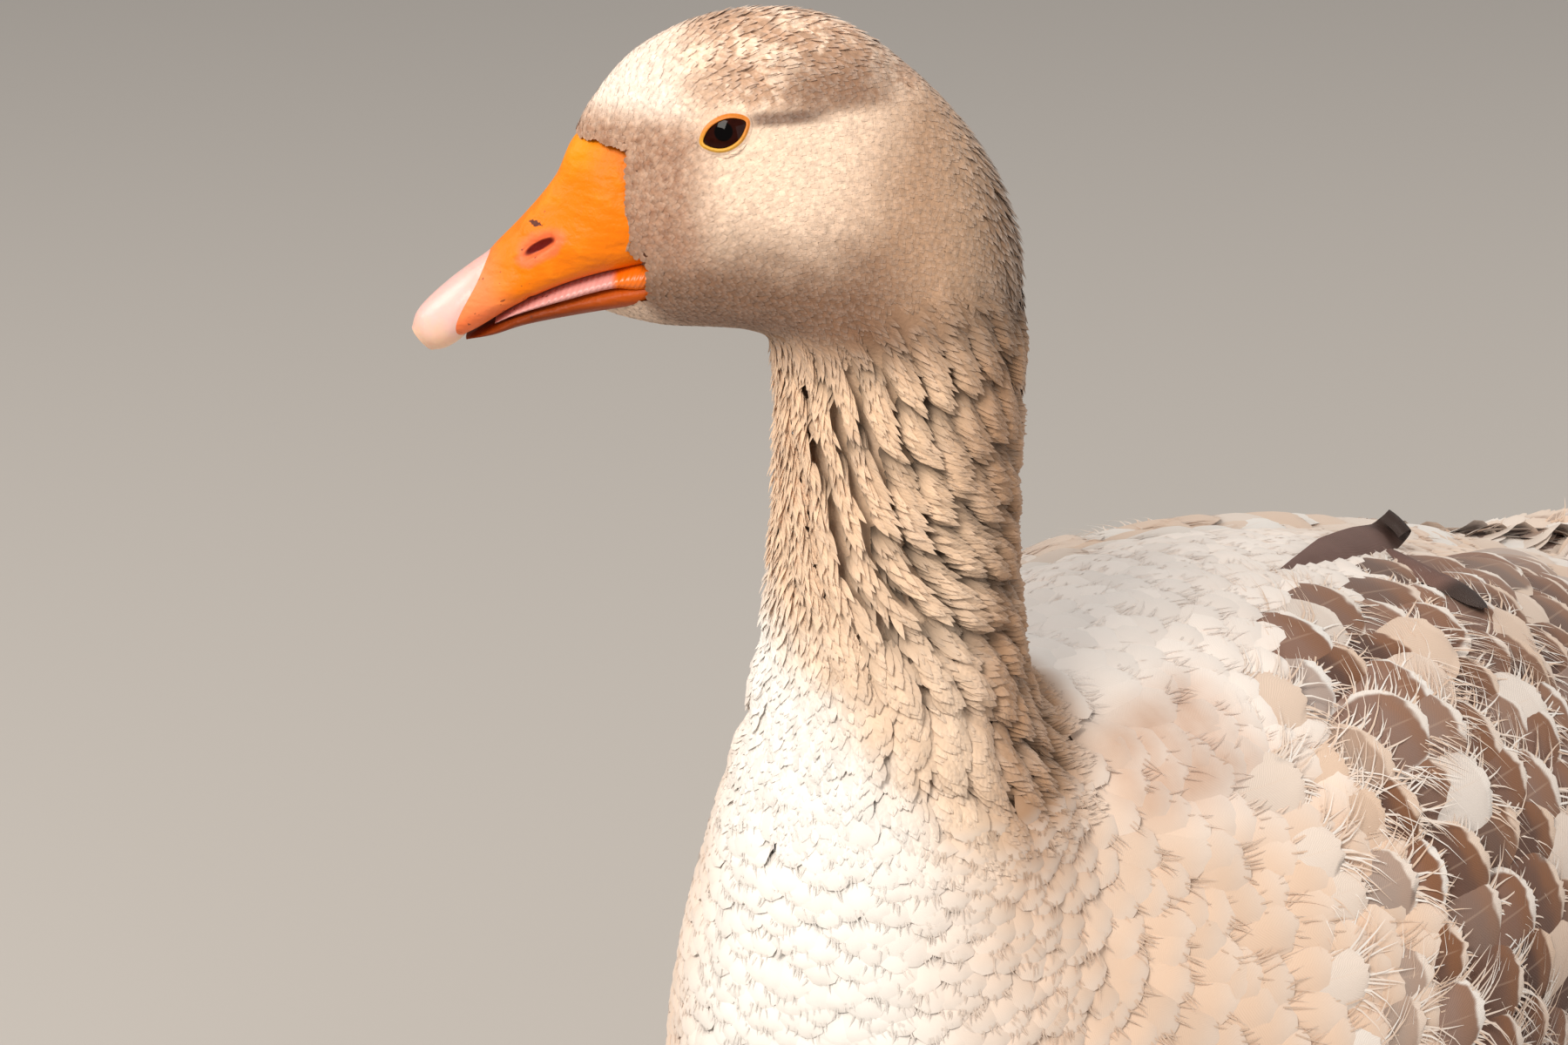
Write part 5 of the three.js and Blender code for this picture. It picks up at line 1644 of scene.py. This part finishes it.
def make_eye(side_name, sign, body):
    """An eyeball that looks straight out from the face, and its lids."""
    place, look = ball_place(body, sign)
    centre = from_head(place[0], place[1], place[2] * sign)
    outward = look[0] * FORWARD + look[2] * sign * LEFTWARD + np.array([0, 0, look[1]])
    first = unit(np.cross(outward, (0, 0, 1.0)))
    second = np.cross(outward, first)
    rise = np.linspace(-pi / 2, pi / 2, 33)[:, None, None]
    turn = (np.arange(48) / 48 * tau)[None, :, None]
    around = np.cos(turn) * first + np.sin(turn) * second
    ball = centre + BALL["radius"] * MM * (np.cos(rise) * around + np.sin(rise) * outward)
    material = eye_surface(f"eye_surface_{side_name}", centre, outward)
    piece = mesh_piece(f"eyeball_{side_name}", ball, grid_faces(33, 48), material)
    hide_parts(f"eye_{side_name}")
    make_lids(side_name, sign, body, place)


def make_lids(side_name, sign, body, centre):
    """Lids that rise from the face over the eyeball to a rim round its opening, pointed at both corners."""
    rings = 22
    turn = np.arange(96) / 96 * tau
    across = np.linspace(0, 1, rings)[:, None]
    pinch = 1 + 0.10 * np.abs(np.cos(turn)) ** 10
    inner_run = LID["long"] * pinch * np.cos(turn)
    inner_rise = LID["high"] * np.sin(turn) * (1 - 0.10 * np.abs(np.cos(turn)) ** 3)
    run = mix(inner_run, LID["outer_long"] * np.cos(turn), across)
    rise = mix(inner_rise, LID["outer_high"] * np.sin(turn), across)
    forward, above = tilted(run, rise, -LID["tilt"])
    forward, above = EYE["forward"] + forward, EYE["above"] + above
    ball = ball_reach(centre, forward, above)
    face = face_reach(body, forward, above, sign) + 0.1
    wide = np.hypot(run - inner_run, rise - inner_rise)
    rim = 0.45 * np.exp(-(((wide - 0.55) / 0.45) ** 2))
    out = np.maximum(ball, face) + 0.15 + rim
    out = np.maximum(mix(out, face - 0.35, smooth(across, 0.45, 0.75)), ball + 0.08) - 0.8 * (across < 0.01)
    points = from_head(forward, above, sign * out)
    faces = grid_faces(*points.shape[:2])
    mesh_piece(f"eyelids_{side_name}", points, faces, lid_skin(), {"across": wide})


# ---------------------------------------------------------------- legs
def rounded_copy(node, name, voxel, material, smoothing=6):
    """A CAD node's shape again as a fine smooth surface."""
    piece = placed(name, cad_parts[node].data.copy())
    make_smooth(piece, voxel, smoothing, material)
    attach(piece, "root")
    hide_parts(node)


def make_legs():
    skin, horn = foot_skin(), claw_horn()
    for side in ("left", "right"):
        rounded_copy(f"shank_{side}", f"scaled_shank_{side}", 1.0, skin)
        rounded_copy(f"foot_{side}", f"webbed_foot_{side}", 0.9, skin, 4)
        for toe in ("inner", "middle", "outer", "hind"):
            rounded_copy(f"claw_{toe}_{side}", f"horn_claw_{toe}_{side}", 0.4, horn, 2)


# ---------------------------------------------------------------- floor, light and camera
def make_stage():
    """A wide pale floor and an even sky."""
    bpy.ops.mesh.primitive_plane_add(size=60)
    floor = bpy.context.object
    floor.name = "studio_floor"
    floor.data.materials.append(Shader("pale_floor").finish(FLOOR, 0.9))
    world = bpy.data.worlds.new("studio")
    bpy.context.scene.world = world
    world.use_nodes = True
    background = world.node_tree.nodes["Background"]
    background.inputs["Color"].default_value = (*SKY, 1)
    background.inputs["Strength"].default_value = 0.42


LIGHTS = {
    # place and size in metres, power in watts, colour
    "window": ((0.1, -1.95, 2.1), 0.9, 56, (1.0, 0.93, 0.84)),
    "side": ((-1.9, -0.9, 1.7), 1.0, 20, (1.0, 0.95, 0.88)),
    "fill": ((2.0, -0.9, 1.3), 1.4, 12, (1.0, 0.96, 0.92)),
    "rim": ((0.6, 1.9, 1.7), 1.0, 12, (1.0, 0.96, 0.9)),
}
LIT_PLACE = Vector((0, -0.15, 0.42))


def make_lights():
    for name, (place, size, power, colour) in LIGHTS.items():
        light = bpy.data.lights.new(name, "AREA")
        light.size = size
        light.energy = power
        light.color = colour
        lamp = placed(name, light)
        lamp.location = place
        lamp.rotation_euler = (LIT_PLACE - Vector(place)).to_track_quat("-Z", "Y").to_euler()


def make_camera():
    camera = bpy.data.cameras.new("camera")
    camera.lens = 105
    camera.sensor_width = 36
    eye = placed("camera", camera)
    eye.location = (0.6183, -1.1405, 0.8740)
    eye.rotation_euler = (radians(90 - 21), 0, radians(35))
    bpy.context.scene.camera = eye
    bpy.context.scene.view_settings.view_transform = "Standard"


# ---------------------------------------------------------------- the goose
WING_ROWS = 1.4, 6.6  # body rows that the large feathers cover on the wings
SOFT_END, SOFT_END_IN_FURROWS = 12.1, 11.6  # body rows where the soft feathers stop on the neck
BREAST_START = 8.2  # body row where the breast begins


def body_wanted(body):
    """Where soft feathers cover the body: below the neck's ropes and off the wings."""
    upper, lower = (np.interp(body.place[:, :1], *edge) for edge in (UPPER_EDGE, LOWER_EDGE))
    winged = (body.degrees > upper + 5) & (body.degrees < lower - 8)
    winged = winged & (body.place > WING_ROWS[0]) & (body.place < WING_ROWS[1])
    end = np.where(body.furrows < 0.3, SOFT_END, SOFT_END_IN_FURROWS)
    return (body.place < end) & (body.furrows < 0.85) & ~winged


def make_goose():
    """Every piece of the goose. All that varies by chance comes from one seeded generator."""
    rng = np.random.default_rng(7)
    body = body_surface(rng)
    thighs = [thigh_surface(1, LEFT_THIGH_PATCH), thigh_surface(-1, RIGHT_THIGH_PATCH)]
    make_skin(body, thighs)
    face_coat(body, rng)
    neck_coat(body, rng)
    on_body, front = body_wanted(body), body.place > BREAST_START
    on_left = body.points[..., 0] > 0
    for name, part, material in (
        ("breast_feathers", front, "breast_plumage"),
        ("body_feathers_left", ~front & on_left, "body_plumage"),
        ("body_feathers_right", ~front & ~on_left, "body_plumage"),
    ):
        soft_coat(name, body, on_body & part, rng, material)
    tree = tree_of(body.points.reshape(-1, 3)[::COARSE])
    for side_name, sign, thigh in (("left", 1, thighs[0]), ("right", -1, thighs[1])):
        outside = thigh_wanted(thigh, tree, body)
        soft_coat(f"thigh_feathers_{side_name}", thigh, outside, rng, "thigh_plumage", small=0.8)
        flight_coat(body, sign, f"flight_feathers_{side_name}", rng)
        covert_coat(body, sign, side_name, rng)
        make_eye(side_name, sign, body)
    curled_feather()
    curved_feather(body)
    tail_coat(rng)
    make_bill()
    make_legs()


make_camera()
make_stage()
make_lights()
make_goose()
